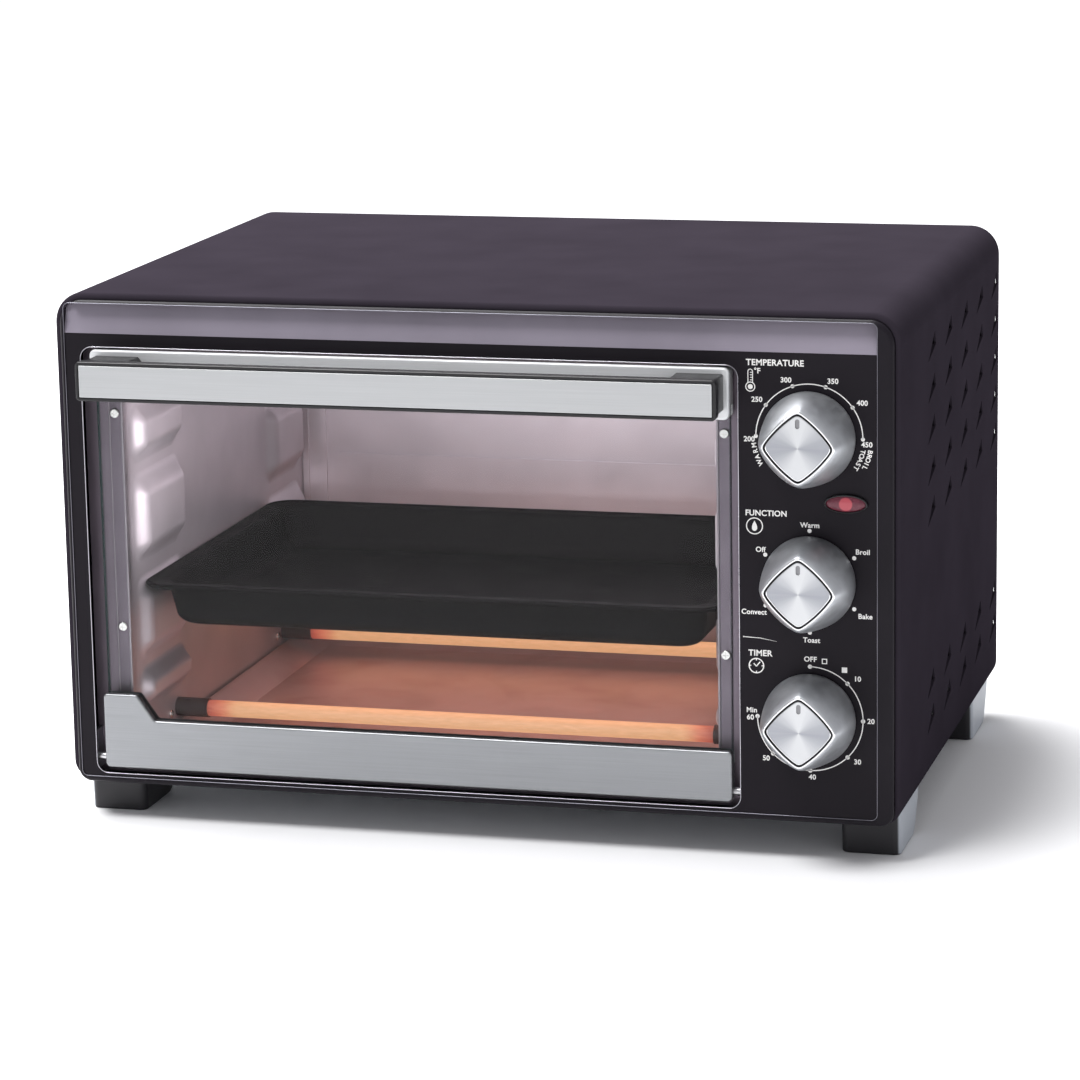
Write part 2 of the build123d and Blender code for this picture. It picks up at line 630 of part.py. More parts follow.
def bottom_trim():
    """Bottom rail, with a raised end over the left hinge."""
    x0, x1 = DOOR_X
    z0, z1 = BOTTOM_TRIM_Z
    outline = Polygon(
        (x0, z0), (x1, z0), (x1, z1), (x0 + TAB_W + TAB_SLOPE, z1), (x0 + TAB_W, TAB_Z),
        (x0, TAB_Z), align=None)
    corners = outline.vertices()
    outline = fillet([v for v in corners if v.Y < z0 + 1], 2.5)
    outline = fillet([v for v in outline.vertices() if v.Y > z1 - 1], 2.0)
    trim = plate(outline, *TRIM_Y)
    front_edges = trim.faces().sort_by(Axis.Y)[0].edges()
    trim = fillet(front_edges, 1.0)
    low_back = trim.edges().filter_by(Axis.X).group_by(Axis.Z)[0].sort_by(Axis.Y)[-1]
    trim = fillet(low_back, 2.5)
    trim -= glass_slot((z1 - GLASS_LAP - 0.3, TAB_Z + 1))
    for x in (x0, x1):
        side = 1 if x == x0 else -1
        trim -= rod_x(*sorted((x - side * 2, x + side * 12)), HINGE_Y, HINGE_Z, PIN_R)
    return trim


def handle_bar():
    """Moulded bar with a shallow recess in front for the metal face."""
    bar = plate(rect(BAR_X, BAR_Z, BAR_R), *BAR_Y)
    bar = fillet(bar.faces().sort_by(Axis.Y)[0].edges(), 0.5)
    bar = fillet(bar.faces().sort_by(Axis.Y)[-1].edges(), 1.4)
    recess = offset(rect(BAR_X, BAR_Z, BAR_R), -BAR_RIM)
    return bar - plate(recess, BAR_Y[0] - 1, BAR_Y[0] + FACE_RECESS)


def handle_face():
    """Metal face, a little smaller than the recess it lies in."""
    outline = offset(rect(BAR_X, BAR_Z, BAR_R), -BAR_RIM - 0.4)
    face = plate(outline, BAR_Y[0] - 0.1, BAR_Y[0] + FACE_RECESS)
    return fillet(face.faces().sort_by(Axis.Y)[0].edges(), 0.3)


def handle_post(x, slope_side):
    """Tapered end post between the door and the bar."""
    x0, x1 = x
    profile = Polygon(
        (x0, BAR_Y[1]), (x1, BAR_Y[1]), (x1, TRIM_Y[0]), (x0, TRIM_Y[0]), align=None)
    height = BAR_Z[1] - BAR_Z[0] - 2 * POST_SHORT
    post = Pos(0, 0, BAR_Z[0] + POST_SHORT) * extrude(profile, height)
    inner_x = x1 if slope_side > 0 else x0
    wedge_w, wedge_h = POST_WEDGE
    wedge = Polygon(
        (inner_x, BAR_Z[1]), (inner_x - slope_side * wedge_w, BAR_Z[1]),
        (inner_x, BAR_Z[1] - wedge_h), align=None)
    post -= plate(wedge, BAR_Y[1] - CUT, TRIM_Y[0] + CUT)
    return fillet(post.edges().filter_by(Axis.Y), 1.0)


def door_glass():
    z = (BOTTOM_TRIM_Z[1] - GLASS_LAP, TOP_TRIM_Z[0] + GLASS_LAP)
    pane = plate(rect((DOOR_X[0] + 1.5, DOOR_X[1] - 0.5), z), *GLASS_Y)
    return chamfer(pane.edges().filter_by(Axis.Z), 0.4)


POSTS_X = {
    "handle_post_left": ((BAR_X[0] + POST_IN, BAR_X[0] + POST_IN + POST_W), 1),
    "handle_post_right": ((BAR_X[1] - POST_IN - POST_W, BAR_X[1] - POST_IN), -1),
}
parts["door_top_trim"] = top_trim()
parts["door_bottom_trim"] = bottom_trim()
parts["door_glass"] = door_glass()
parts["handle_bar"] = handle_bar()
parts["handle_face_plate"] = handle_face()
post_screws = []
for name, (x, slope_side) in POSTS_X.items():
    parts[name] = handle_post(x, slope_side)
    post_screws.append(((x[0] + x[1]) / 2, TRIM_Y[1], (BAR_Z[0] + BAR_Z[1]) / 2 + 1))
parts["handle_screws"] = screws(post_screws, "rear", shank_l=19.0)
for name in ("door_top_trim", "handle_post_left", "handle_post_right"):
    parts[name] = parts[name].cut(*parts["handle_screws"].solids())

pins = []
brackets = []
for x, side in ((DOOR_X[0], -1), (DOOR_X[1], 1)):
    pins.append(rod_x(*sorted((x - side * PIN_IN, x + side * PIN_OUT)), HINGE_Y, HINGE_Z, PIN_R))
    plate_x = sorted(x + side * out for out in BRACKET_OUT)
    bracket = block(plate_x, (PANEL_Y + PANEL_T + SEAM, CAVITY_Y[0] - THIN), BRACKET_Z)
    eye = rod_x(plate_x[0] - CUT, plate_x[1] + CUT, HINGE_Y, HINGE_Z, PIN_R + PIN_CLEAR)
    brackets.append(bracket - eye)
parts["hinge_pins"] = group(pins)
parts["hinge_brackets"] = group(brackets)


# ---- controls -----------------------------------------------------------------------------
def rounded_square(side, radius):
    return Rot(0, 0, 45) * RectangleRounded(side, side, radius)


def knob_body(z):
    """Dome that runs from a round skirt to a rounded-square grip standing on its corner."""
    centre = Pos(KNOB_X, z)
    skirt = plate(centre * Circle(KNOB_R), KNOB_BACK - KNOB_SKIRT, KNOB_BACK)

    def at(sketch, y):
        return Plane((0, y, 0), x_dir=(1, 0, 0), z_dir=(0, -1, 0)) * (centre * sketch)

    dome = loft([
        at(Circle(KNOB_R).face(), KNOB_BACK - KNOB_SKIRT),
        at(rounded_square(GRIP_SIDE + 1.5, GRIP_R + 3.0).face(), KNOB_GRIP_Y)])
    grip = plate(centre * rounded_square(GRIP_SIDE, GRIP_R), KNOB_FRONT, KNOB_GRIP_Y)
    grip = chamfer(grip.faces().sort_by(Axis.Y)[0].edges(), 0.5)
    knob = skirt + dome + grip
    knob -= plate(centre * rounded_square(FACE_SIDE + 0.6, FACE_R + 0.3), KNOB_FRONT - 1,
                  KNOB_FRONT + FACE_T)
    hollow_r, hollow_d = SKIRT_HOLLOW
    knob -= rod_y(KNOB_BACK - hollow_d, KNOB_BACK + CUT, KNOB_X, z, hollow_r)
    return knob - rod_y(KNOB_BACK - SHAFT_IN - CUT, KNOB_BACK + CUT, KNOB_X, z, SHAFT_R)


def knob_face(z):
    """Face plate let into the front of the grip, with the pointer slot near its top corner."""
    centre = Pos(KNOB_X, z)
    face = plate(centre * rounded_square(FACE_SIDE, FACE_R), KNOB_FRONT + 0.1,
                 KNOB_FRONT + FACE_T)
    width, length, deep = POINTER
    slot = Pos(KNOB_X, z + FACE_SIDE * 0.48) * RectangleRounded(width, length, width * 0.45)
    return face - plate(slot, KNOB_FRONT - CUT, KNOB_FRONT + deep)


def shaft(z, back):
    return rod_y(KNOB_BACK - SHAFT_IN, back, KNOB_X, z, SHAFT_R)


CONTROLS = {
    # name: (mechanism node, half width, half height, depth)
    "temperature": ("thermostat", 15.0, 20.0, 24.0),
    "function": ("function_switch", 19.0, 19.0, 28.0),
    "timer": ("timer_mechanism", 24.0, 21.0, 40.0),
}
MECH_FRONT = PANEL_Y + PANEL_T
MECH_R = 3.0
SOCKET_D = 14.0  # shaft socket in the mechanism
BUSH_PROUD = 2.5
TAB = (4.8, 8.0, 0.8)  # width, length and thickness of a wiring tab
TAB_LIFT = 6.0
control_screw_places = []
for control, (mechanism, half_w, half_h, depth) in CONTROLS.items():
    z = KNOB_Z[control]
    body = block((KNOB_X - half_w, KNOB_X + half_w), (MECH_FRONT, MECH_FRONT + depth),
                 (z - half_h, z + half_h))
    body = fillet(body.edges().filter_by(Axis.Y), MECH_R)
    body += rod_y(PANEL_Y - BUSH_PROUD, MECH_FRONT, KNOB_X, z, BUSH_R)
    socket_y = (PANEL_Y - BUSH_PROUD - CUT, MECH_FRONT + SOCKET_D)
    body -= rod_y(*socket_y, KNOB_X, z, SHAFT_R + SHAFT_CLEAR)
    for tab in range(4):
        tab_x = KNOB_X - half_w * 0.6 + half_w * 0.4 * tab
        body += block((tab_x - TAB[0] / 2, tab_x + TAB[0] / 2),
                      (MECH_FRONT + depth, MECH_FRONT + depth + TAB[1]),
                      (z + TAB_LIFT, z + TAB_LIFT + TAB[2]))
    parts[mechanism] = body
    parts[control + "_knob"] = knob_body(z)
    parts[control + "_knob_face"] = knob_face(z)
    parts[control + "_shaft"] = shaft(z, MECH_FRONT + SOCKET_D - 0.5)
    for side in (-1, 1):
        control_screw_places.append((KNOB_X + side * CONTROL_SCREW_X, PANEL_Y, z))
parts["control_screws"] = screws(control_screw_places, "front", 2.8, 1.5, 1.6, 8.0)
for mechanism in ("thermostat", "function_switch", "timer_mechanism"):
    parts[mechanism] = parts[mechanism].cut(*parts["control_screws"].solids())

BELL_Y = MECH_FRONT + CONTROLS["timer"][3]
BELL_Z = KNOB_Z["timer"] - 10.0
BELL_R = 15.0
BELL_D = 12.0
BELL_T = 1.5


def timer_bell():
    """Cupped bell on a stud behind the timer."""
    bell = rod_y(BELL_Y + 1, BELL_Y + 1 + BELL_D, KNOB_X, BELL_Z, BELL_R)
    bell = fillet(bell.edges().group_by(Axis.Y)[-1], BELL_R / 2 - 0.5)
    bell -= rod_y(BELL_Y, BELL_Y + BELL_D - 4, KNOB_X, BELL_Z, BELL_R - BELL_T)
    return bell + rod_y(BELL_Y, BELL_Y + BELL_D, KNOB_X, BELL_Z, 2.0)


parts["timer_bell"] = timer_bell()


def oval(grow_x, grow_z):
    return Pos(LAMP_X, LAMP_Z) * Ellipse(LAMP_RX + grow_x, LAMP_RZ + grow_z)


def lens():
    """Oval lens, hollow behind, with a lip that rests against the back of the panel."""
    back = PANEL_Y + PANEL_T
    cap = plate(oval(-0.1, -0.1), PANEL_Y - LAMP_PROUD, back)
    cap = fillet(cap.faces().sort_by(Axis.Y)[0].edges(), 0.8)
    cap += plate(oval(LAMP_LIP, LAMP_LIP), back, back + LAMP_LIP)
    return cap - plate(oval(-1.6, -1.4), PANEL_Y - 0.5, back + LAMP_LIP + CUT)


def indicator_lamp():
    """Neon bulb in its holder behind the lens."""
    y = PANEL_Y + PANEL_T + LAMP_LIP
    half_w, depth, half_h = NEON_HOLDER
    holder = block((LAMP_X - half_w, LAMP_X + half_w), (y, y + depth),
                   (LAMP_Z - half_h, LAMP_Z + half_h))
    return holder + rod_y(PANEL_Y, y, LAMP_X, LAMP_Z, NEON_R)


parts["lamp_lens"] = lens()
parts["indicator_lamp"] = indicator_lamp()


# ---- convection fan -----------------------------------------------------------------------
HOUSING_X = (CAVITY_X[1] + THIN, CAVITY_X[1] + THIN + FAN_CUP_D)
BLADE_X = (HOUSING_X[0] + 4.0, HOUSING_X[1] - 4.0)
MOTOR_X = (HOUSING_X[1] + 5.0, HOUSING_X[1] + 5.0 + MOTOR_D)
SPACER_Y = 26.0  # motor spacers, either side of the shaft
SPACER = 4.0
STACK = (30.0, 22.0)  # half width and half height of the motor's laminations
STACK_NOTCH = (14.0, 22.0)
COIL_BOX = (14.0, 18.0)  # half width and height of the motor's coil
MOTOR_BUSH_R = 6.0
MOTOR_BUSH = 3.0
HUB_R = 7.0
VANE = (1.0, 15.0, 31.0)
VANE_OUT = 21.0
VANE_TWIST = 28.0
VANES = 6


def fan_housing():
    """Round cup behind the cavity wall that the fan turns in."""
    cup_r = FAN_R + FAN_CUP_GAP
    floor_x = HOUSING_X[1] - THIN
    cup = rod_x(*HOUSING_X, FAN_Y, FAN_Z, cup_r)
    cup -= rod_x(HOUSING_X[0] - CUT, floor_x, FAN_Y, FAN_Z, cup_r - THIN)
    cup -= rod_x(floor_x - CUT, HOUSING_X[1] + CUT, FAN_Y, FAN_Z, MOTOR_BUSH_R)
    for side in (-1, 1):
        y = FAN_Y + side * SPACER_Y
        cup += block((HOUSING_X[1], MOTOR_X[0]), (y - SPACER, y + SPACER),
                     (FAN_Z - SPACER, FAN_Z + SPACER))
    return cup


def fan_motor():
    """Shaded-pole motor: laminated stack, coil and bearing bush."""
    half_w, half_h = STACK
    stack = block(MOTOR_X, (FAN_Y - half_w, FAN_Y + half_w), (FAN_Z - half_h, FAN_Z + half_h))
    stack -= block((MOTOR_X[0] - CUT, MOTOR_X[1] + CUT),
                   (FAN_Y - STACK_NOTCH[1], FAN_Y - STACK_NOTCH[0]),
                   (FAN_Z - half_h - CUT, FAN_Z - STACK_NOTCH[0]))
    coil_w, coil_h = COIL_BOX
    coil = block((MOTOR_X[0] + 1, MOTOR_X[1] + 3), (FAN_Y - coil_w, FAN_Y + coil_w),
                 (FAN_Z - half_h - coil_h, FAN_Z - half_h))
    stack += fillet(coil.edges().filter_by(Axis.Y), 3.0)
    stack += rod_x(MOTOR_X[0] - MOTOR_BUSH, MOTOR_X[0] + 1, FAN_Y, FAN_Z, MOTOR_BUSH_R)
    bore_x = (MOTOR_X[0] - MOTOR_BUSH - CUT, MOTOR_X[0] + SHAFT_IN)
    return stack - rod_x(*bore_x, FAN_Y, FAN_Z, FAN_SHAFT_R + PIN_CLEAR)


def fan_blade():
    """Stamped fan: twisted vanes around a hub."""
    hub = rod_x(*BLADE_X, FAN_Y, FAN_Z, HUB_R)
    middle = Pos(sum(BLADE_X) / 2, FAN_Y, FAN_Z)
    vane = Pos(0, 0, VANE_OUT) * Rot(0, 0, VANE_TWIST) * Box(*VANE)
    vanes = [middle * Rot(step * 360 / VANES, 0, 0) * vane for step in range(VANES)]
    fan = hub.fuse(*vanes) & rod_x(*BLADE_X, FAN_Y, FAN_Z, FAN_R - 3)
    return fan - rod_x(BLADE_X[0] - CUT, BLADE_X[1] + CUT, FAN_Y, FAN_Z, FAN_SHAFT_R)


parts["fan_housing"] = fan_housing()
parts["fan_motor"] = fan_motor()
parts["fan_blade"] = fan_blade()
parts["fan_shaft"] = rod_x(BLADE_X[0], MOTOR_X[0] + SHAFT_IN - 1, FAN_Y, FAN_Z, FAN_SHAFT_R)

# ---- wiring inlet and cover fasteners -----------------------------------------------------
TERMINAL = (40.0, 12.0, 18.0)  # width, depth and height
TERMINAL_Y = REAR - 20.0
TERMINAL_PITCH = 12.0
TERMINAL_HOLE_R = 3.0
COVER_SCREW_X = (-195.0, -65.0, 65.0, 195.0)
COVER_SCREW_Z = (BASE + 12.0, TOP - 12.0)


def terminal_block():
    """Terminal strip on the base pan, open above each of its three screws."""
    foot = BASE + SHEET
    body = Pos(CORD_X, TERMINAL_Y, foot + TERMINAL[2] / 2) * Box(*TERMINAL)
    holes = [
        rod_z(foot + TERMINAL[2] / 2, foot + TERMINAL[2] + CUT,
              CORD_X + TERMINAL_PITCH * step, TERMINAL_Y, TERMINAL_HOLE_R)
        for step in (-1, 0, 1)]
    return body.cut(*holes)


parts["terminal_block"] = terminal_block()
rear_places = [(x, COVER_Y[1], z) for x in COVER_SCREW_X for z in COVER_SCREW_Z]
parts["rear_cover_screws"] = screws(rear_places, "rear")
parts["rear_cover"] = parts["rear_cover"].cut(*parts["rear_cover_screws"].solids())
parts["base_pan"] = parts["base_pan"].cut(*parts["foot_screws"].solids())

os.makedirs("parts", exist_ok=True)
for name, shape in parts.items():
    shape.label = name
    export_step(shape, os.path.join("parts", name + ".step"))
print(len(parts), "nodes")
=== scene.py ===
import math

import bmesh
import bpy
from mathutils import Matrix, Vector

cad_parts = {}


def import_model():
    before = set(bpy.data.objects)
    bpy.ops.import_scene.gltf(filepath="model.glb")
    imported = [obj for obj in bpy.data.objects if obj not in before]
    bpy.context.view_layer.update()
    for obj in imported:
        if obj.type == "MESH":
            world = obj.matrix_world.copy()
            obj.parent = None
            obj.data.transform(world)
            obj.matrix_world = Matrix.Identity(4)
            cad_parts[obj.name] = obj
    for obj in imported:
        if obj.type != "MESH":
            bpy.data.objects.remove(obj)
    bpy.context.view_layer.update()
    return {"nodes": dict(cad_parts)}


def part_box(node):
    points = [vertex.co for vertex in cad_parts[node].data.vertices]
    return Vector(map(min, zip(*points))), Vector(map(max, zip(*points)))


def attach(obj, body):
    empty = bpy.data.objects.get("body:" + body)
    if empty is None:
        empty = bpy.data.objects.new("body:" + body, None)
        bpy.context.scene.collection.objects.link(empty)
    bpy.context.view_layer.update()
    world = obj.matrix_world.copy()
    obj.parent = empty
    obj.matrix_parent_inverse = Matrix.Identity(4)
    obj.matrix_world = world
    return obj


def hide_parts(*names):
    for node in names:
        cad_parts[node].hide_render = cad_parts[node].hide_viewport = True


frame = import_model()
NODES = frame["nodes"]
MM = 0.001


# ---- places taken from the frame ----------------------------------------------------------
def centre(node):
    low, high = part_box(node)
    return (low + high) / 2


PANEL_LOW, PANEL_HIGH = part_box("front_panel")
PANEL_FACE = PANEL_LOW.y
KNOBS = ("temperature", "function", "timer")
KNOB_CENTRE = {name: centre(name + "_knob") for name in KNOBS}


# ---- material building blocks -------------------------------------------------------------
class Surface:
    """A Principled material whose detail is worked out in object space, in metres."""

    def __init__(self, name, color, roughness, metallic=0.0, **sockets):
        self.material = bpy.data.materials.new(name)
        self.material.use_nodes = True
        self.tree = self.material.node_tree
        self.shader = self.tree.nodes["Principled BSDF"]
        self.shader.inputs["Base Color"].default_value = (*color, 1)
        self.shader.inputs["Roughness"].default_value = roughness
        self.shader.inputs["Metallic"].default_value = metallic
        for socket, value in sockets.items():
            self.shader.inputs[socket.replace("_", " ")].default_value = value
        self.color = color
        self.roughness = roughness
        self.place = self.add("ShaderNodeTexCoord").outputs["Object"]
        self.height = None

    def add(self, kind, links=None, **settings):
        """New node, with its settings and the sockets or values that go into it."""
        node = self.tree.nodes.new(kind)
        for key, value in settings.items():
            setattr(node, key, value)
        for key, value in (links or {}).items():
            self.put(node.inputs[key], value)
        return node

    def put(self, socket, value):
        if isinstance(value, bpy.types.NodeSocket):
            self.tree.links.new(value, socket)
        else:
            socket.default_value = value

    def stretched(self, scale):
        """Object coordinates scaled along each axis."""
        return self.add("ShaderNodeMapping", {"Vector": self.place, "Scale": scale}).outputs[0]

    def noise(self, size, detail=3.0, stretch=(1, 1, 1), distortion=0.0):
        place = self.place if stretch == (1, 1, 1) else self.stretched(stretch)
        node = self.add("ShaderNodeTexNoise", {
            "Vector": place, "Scale": 1 / size, "Detail": detail, "Distortion": distortion})
        return node.outputs["Fac"]

    def cells(self, size, output="Distance"):
        node = self.add("ShaderNodeTexVoronoi", {"Vector": self.place, "Scale": 1 / size})
        return node.outputs[output]

    def math(self, operation, a, b=0.0):
        return self.add("ShaderNodeMath", {0: a, 1: b}, operation=operation).outputs[0]

    def radius(self):
        """Distance from the piece's own y axis."""
        x, z = self.axis("X"), self.axis("Z")
        squares = self.math("ADD", self.math("MULTIPLY", x, x), self.math("MULTIPLY", z, z))
        return self.math("SQRT", squares)

    def spread(self, value, low, high, to_low=0.0, to_high=1.0):
        """Map a range of a value to another range, clamped."""
        return self.add("ShaderNodeMapRange", {
            "Value": value, "From Min": low, "From Max": high,
            "To Min": to_low, "To Max": to_high}).outputs[0]

    def ramp(self, value, stops):
        node = self.add("ShaderNodeValToRGB", {"Fac": value})
        ramp = node.color_ramp
        while len(ramp.elements) < len(stops):
            ramp.elements.new(0.5)
        for element, (position, color) in zip(ramp.elements, stops):
            element.position = position
            element.color = (*color, 1)
        return node.outputs["Color"]

    def mix(self, amount, a, b):
        """Mix two colours."""
        node = self.add("ShaderNodeMix", data_type="RGBA")
        self.put(node.inputs["Factor"], amount)
        for socket, value in ((node.inputs[6], a), (node.inputs[7], b)):
            self.put(socket, (*value, 1) if isinstance(value, tuple) else value)
        return node.outputs[2]

    def axis(self, name):
        return self.add("ShaderNodeSeparateXYZ", {"Vector": self.place}).outputs[name]

    def normal_axis(self, name):
        """One part of the surface normal in object space."""
        normal = self.add("ShaderNodeTexCoord").outputs["Normal"]
        return self.add("ShaderNodeSeparateXYZ", {"Vector": normal}).outputs[name]

    def paint(self, color):
        self.put(self.shader.inputs["Base Color"], color)

    def shades(self, amount, size, detail=3.0, stretch=(1, 1, 1)):
        """Vary the base colour's brightness by a share of itself."""
        dark = tuple(c * (1 - amount) for c in self.color)
        light = tuple(min(1.0, c * (1 + amount)) for c in self.color)
        fac = self.spread(self.noise(size, detail, stretch), 0.3, 0.7)
        self.paint(self.mix(fac, dark, light))

    def rough(self, amount, size, detail=3.0, stretch=(1, 1, 1)):
        """Vary the roughness by plus or minus an amount."""
        fac = self.noise(size, detail, stretch)
        value = self.spread(fac, 0.3, 0.7, self.roughness - amount, self.roughness + amount)
        self.put(self.shader.inputs["Roughness"], value)

    def bump(self, height, depth):
        """Add relief; depth is the height in metres of a full step."""
        links = {"Height": height, "Distance": depth}
        if self.height is not None:
            links["Normal"] = self.height
        self.height = self.add("ShaderNodeBump", links).outputs["Normal"]
        self.put(self.shader.inputs["Normal"], self.height)


# ---- materials ----------------------------------------------------------------------------
def powder_coat(name, color, roughness, specular, grain=0.00055, depth=0.000022, spread=0.08):
    """Baked paint with a fine orange-peel grain and faint handling marks."""
    s = Surface(name, color, roughness, Specular_IOR_Level=specular)
    s.shades(spread, 0.045, 4.0)
    s.rough(0.05, 0.03, 5.0)
    s.bump(s.noise(grain, 2.0), depth)
    s.bump(s.noise(0.006, 2.0), 0.00003)
    return s.material


def brushed(name, color, roughness, along, depth=0.000003, spread=0.03, metallic=1.0):
    """Metal brushed along one axis: fine unbroken streaks in colour, gloss and relief."""
    s = Surface(name, color, roughness, metallic=metallic)
    stretch = tuple(0.012 if i == along else 1.0 for i in range(3))
    s.shades(spread, 0.0007, 5.0, stretch)
    s.rough(0.07, 0.0005, 4.0, stretch)
    s.bump(s.noise(0.00035, 3.0, stretch), depth)
    return s.material


def satin_metal(name, color, roughness, grain=0.0004, depth=0.00001, blotch=0.08):
    """Bare or plated metal with a fine matt grain."""
    s = Surface(name, color, roughness, metallic=1.0)
    s.shades(blotch, 0.02, 4.0)
    s.rough(0.06, 0.008, 4.0)
    s.bump(s.noise(grain, 2.0), depth)
    return s.material


def galvanised(name):
    """Zinc-coated sheet with its spangle of crystals."""
    s = Surface(name, (0.42, 0.43, 0.45), 0.42, metallic=1.0)
    crystals = s.cells(0.006, output="Color")
    tone = s.add("ShaderNodeSeparateColor", {"Color": crystals}).outputs[0]
    s.paint(s.mix(tone, (0.34, 0.35, 0.37), (0.52, 0.53, 0.55)))
    s.put(s.shader.inputs["Roughness"], s.spread(tone, 0, 1, 0.34, 0.52))
    s.bump(s.noise(0.0008, 3.0), 0.00001)
    return s.material


def moulded_plastic(name, color, roughness=0.42, grain=0.0006, depth=0.00002):
    s = Surface(name, color, roughness, Specular_IOR_Level=0.4)
    s.shades(0.07, 0.03)
    s.rough(0.04, 0.01)
    s.bump(s.cells(grain), depth)
    return s.material


def foot_plastic(name):
    """Moulded feet: black, with the faces that point outwards along x coloured silver-grey."""
    s = Surface(name, (0.012, 0.011, 0.014), 0.45, Specular_IOR_Level=0.4)
    side = s.math("ABSOLUTE", s.normal_axis("X"))
    out = s.math("MULTIPLY", s.normal_axis("X"), s.axis("X"))
    flank = s.math("MULTIPLY", s.spread(side, 0.6, 0.8), s.math("GREATER_THAN", out, 0.0))
    s.paint(s.mix(flank, (0.012, 0.011, 0.014), (0.40, 0.43, 0.47)))
    s.bump(s.cells(0.0006), 0.00002)
    return s.material


def cavity_steel(name, color=(0.47, 0.425, 0.455), roughness=0.40):
    """Aluminised sheet: dull, slightly mottled, with rolling streaks."""
    s = Surface(name, color, roughness, metallic=0.6)
    s.shades(0.07, 0.035, 5.0)
    s.rough(0.06, 0.02, 5.0)
    s.bump(s.noise(0.0007, 3.0, (1, 1, 0.25)), 0.000010)
    s.bump(s.noise(0.03, 2.0), 0.00010)
    return s.material


def tray_steel(name):
    """Crumb tray: its steel coloured red-brown as a painted glow from the lit heaters above it,
    with faint baking stains.
    """
    s = Surface(name, (0.50, 0.36, 0.33), 0.34, metallic=0.65)
    stain = s.spread(s.noise(0.05, 6.0, distortion=1.2), 0.50, 0.78)
    # Both stain colours carry the painted red glow of the heaters.
    s.paint(s.mix(stain, (0.52, 0.375, 0.35), (0.42, 0.27, 0.24)))
    s.rough(0.06, 0.02, 5.0)
    s.bump(s.noise(0.0009, 3.0), 0.000012)
    return s.material


def glowing_quartz(name, x0, x1, lit):
    """Milky quartz tube. A lit tube is peach in the middle and red, then dark, at its ends."""
    s = Surface(name, (0.42, 0.30, 0.24), 0.32, Specular_IOR_Level=0.5)
    middle = (x0 + x1) / 2
    reach = (x1 - x0) / 2
    edge = s.math("ABSOLUTE", s.math("SUBTRACT", s.axis("X"), middle))
    edge = s.math("DIVIDE", edge, reach)
    wander = s.math("MULTIPLY", s.math("SUBTRACT", s.noise(0.008), 0.5), 0.03)
    edge = s.math("ADD", edge, wander)
    frost = s.noise(0.0012, 4.0, (0.2, 1, 1))
    if lit:
        glow = s.ramp(edge, (
            (0.0, (0.80, 0.43, 0.21)), (0.80, (0.80, 0.42, 0.20)), (0.86, (0.66, 0.17, 0.09)),
            (0.90, (0.40, 0.045, 0.03)), (0.93, (0.04, 0.008, 0.006))))
        s.paint(s.mix(s.spread(frost, 0.35, 0.7), (0.22, 0.13, 0.09), (0.32, 0.20, 0.14)))
        s.put(s.shader.inputs["Emission Color"], glow)
        s.shader.inputs["Emission Strength"].default_value = 0.78
    else:
        s.shader.inputs["Transmission Weight"].default_value = 0.55
        s.paint(s.mix(s.spread(frost, 0.35, 0.7), (0.72, 0.70, 0.68), (0.85, 0.83, 0.80)))
    s.bump(frost, 0.00002)
    return s.material


def heater_wire(name):
    s = Surface(name, (0.32, 0.20, 0.15), 0.5, metallic=0.8)
    s.shades(0.2, 0.003)
    s.rough(0.1, 0.002)
    s.bump(s.noise(0.0004, 3.0), 0.00001)
    return s.material


def heater_ceramic(name):
    """Glazed ends of the heaters, sooted dark."""
    s = Surface(name, (0.030, 0.018, 0.018), 0.35, Specular_IOR_Level=0.4)
    s.shades(0.3, 0.004, 4.0)
    s.rough(0.1, 0.003)
    s.bump(s.noise(0.0007), 0.00002)
    return s.material


def enamel(name):
    """Black non-stick enamel with fine pale specks."""
    s = Surface(name, (0.0045, 0.0038, 0.0042), 0.55, Specular_IOR_Level=0.03)
    specks = s.spread(s.cells(0.0022), 0.05, 0.10, 1.0, 0.0)
    s.paint(s.mix(specks, (0.0045, 0.0038, 0.0042), (0.016, 0.015, 0.017)))
    s.rough(0.06, 0.015)
    s.bump(s.noise(0.0009, 2.0), 0.000005)
    return s.material


def pane(name):
    """Clear toughened glass: see-through faces, sea-green edges."""
    s = Surface(name, (1, 1, 1), 0.02, Specular_IOR_Level=0.3)
    clear = s.add("ShaderNodeBsdfTransparent", {"Color": (0.94, 0.95, 0.95, 1)})
    gloss = s.add("ShaderNodeBsdfGlossy", {"Roughness": 0.02, "Color": (1, 1, 1, 1)})
    fresnel = s.add("ShaderNodeFresnel", {"IOR": 1.17})
    # The far face would mirror every slanting ray that leaves the glass, so the share is capped.
    share = s.math("MINIMUM", fresnel.outputs[0], 0.12)
    face = s.add("ShaderNodeMixShader", {0: share, 1: clear.outputs[0], 2: gloss.outputs[0]})
    s.paint((0.035, 0.065, 0.062, 1))
    s.shader.inputs["Roughness"].default_value = 0.25
    s.bump(s.noise(0.0006, 3.0, (1, 1, 0.1)), 0.00002)
    edge = s.spread(s.math("ABSOLUTE", s.normal_axis("Y")), 0.80, 0.55)
    both = s.add("ShaderNodeMixShader", {0: edge, 1: face.outputs[0], 2: s.shader.outputs[0]})
    s.put(s.tree.nodes["Material Output"].inputs["Surface"], both.outputs[0])
    return s.material


def bead_blasted(name):
    """Silvered knob body with a bead-blasted skin."""
    s = Surface(name, (0.50, 0.515, 0.54), 0.48, metallic=1.0)
    s.shades(0.05, 0.004, 4.0)
    s.rough(0.05, 0.003, 4.0)
    s.bump(s.noise(0.00022, 2.0), 0.000007)
    return s.material


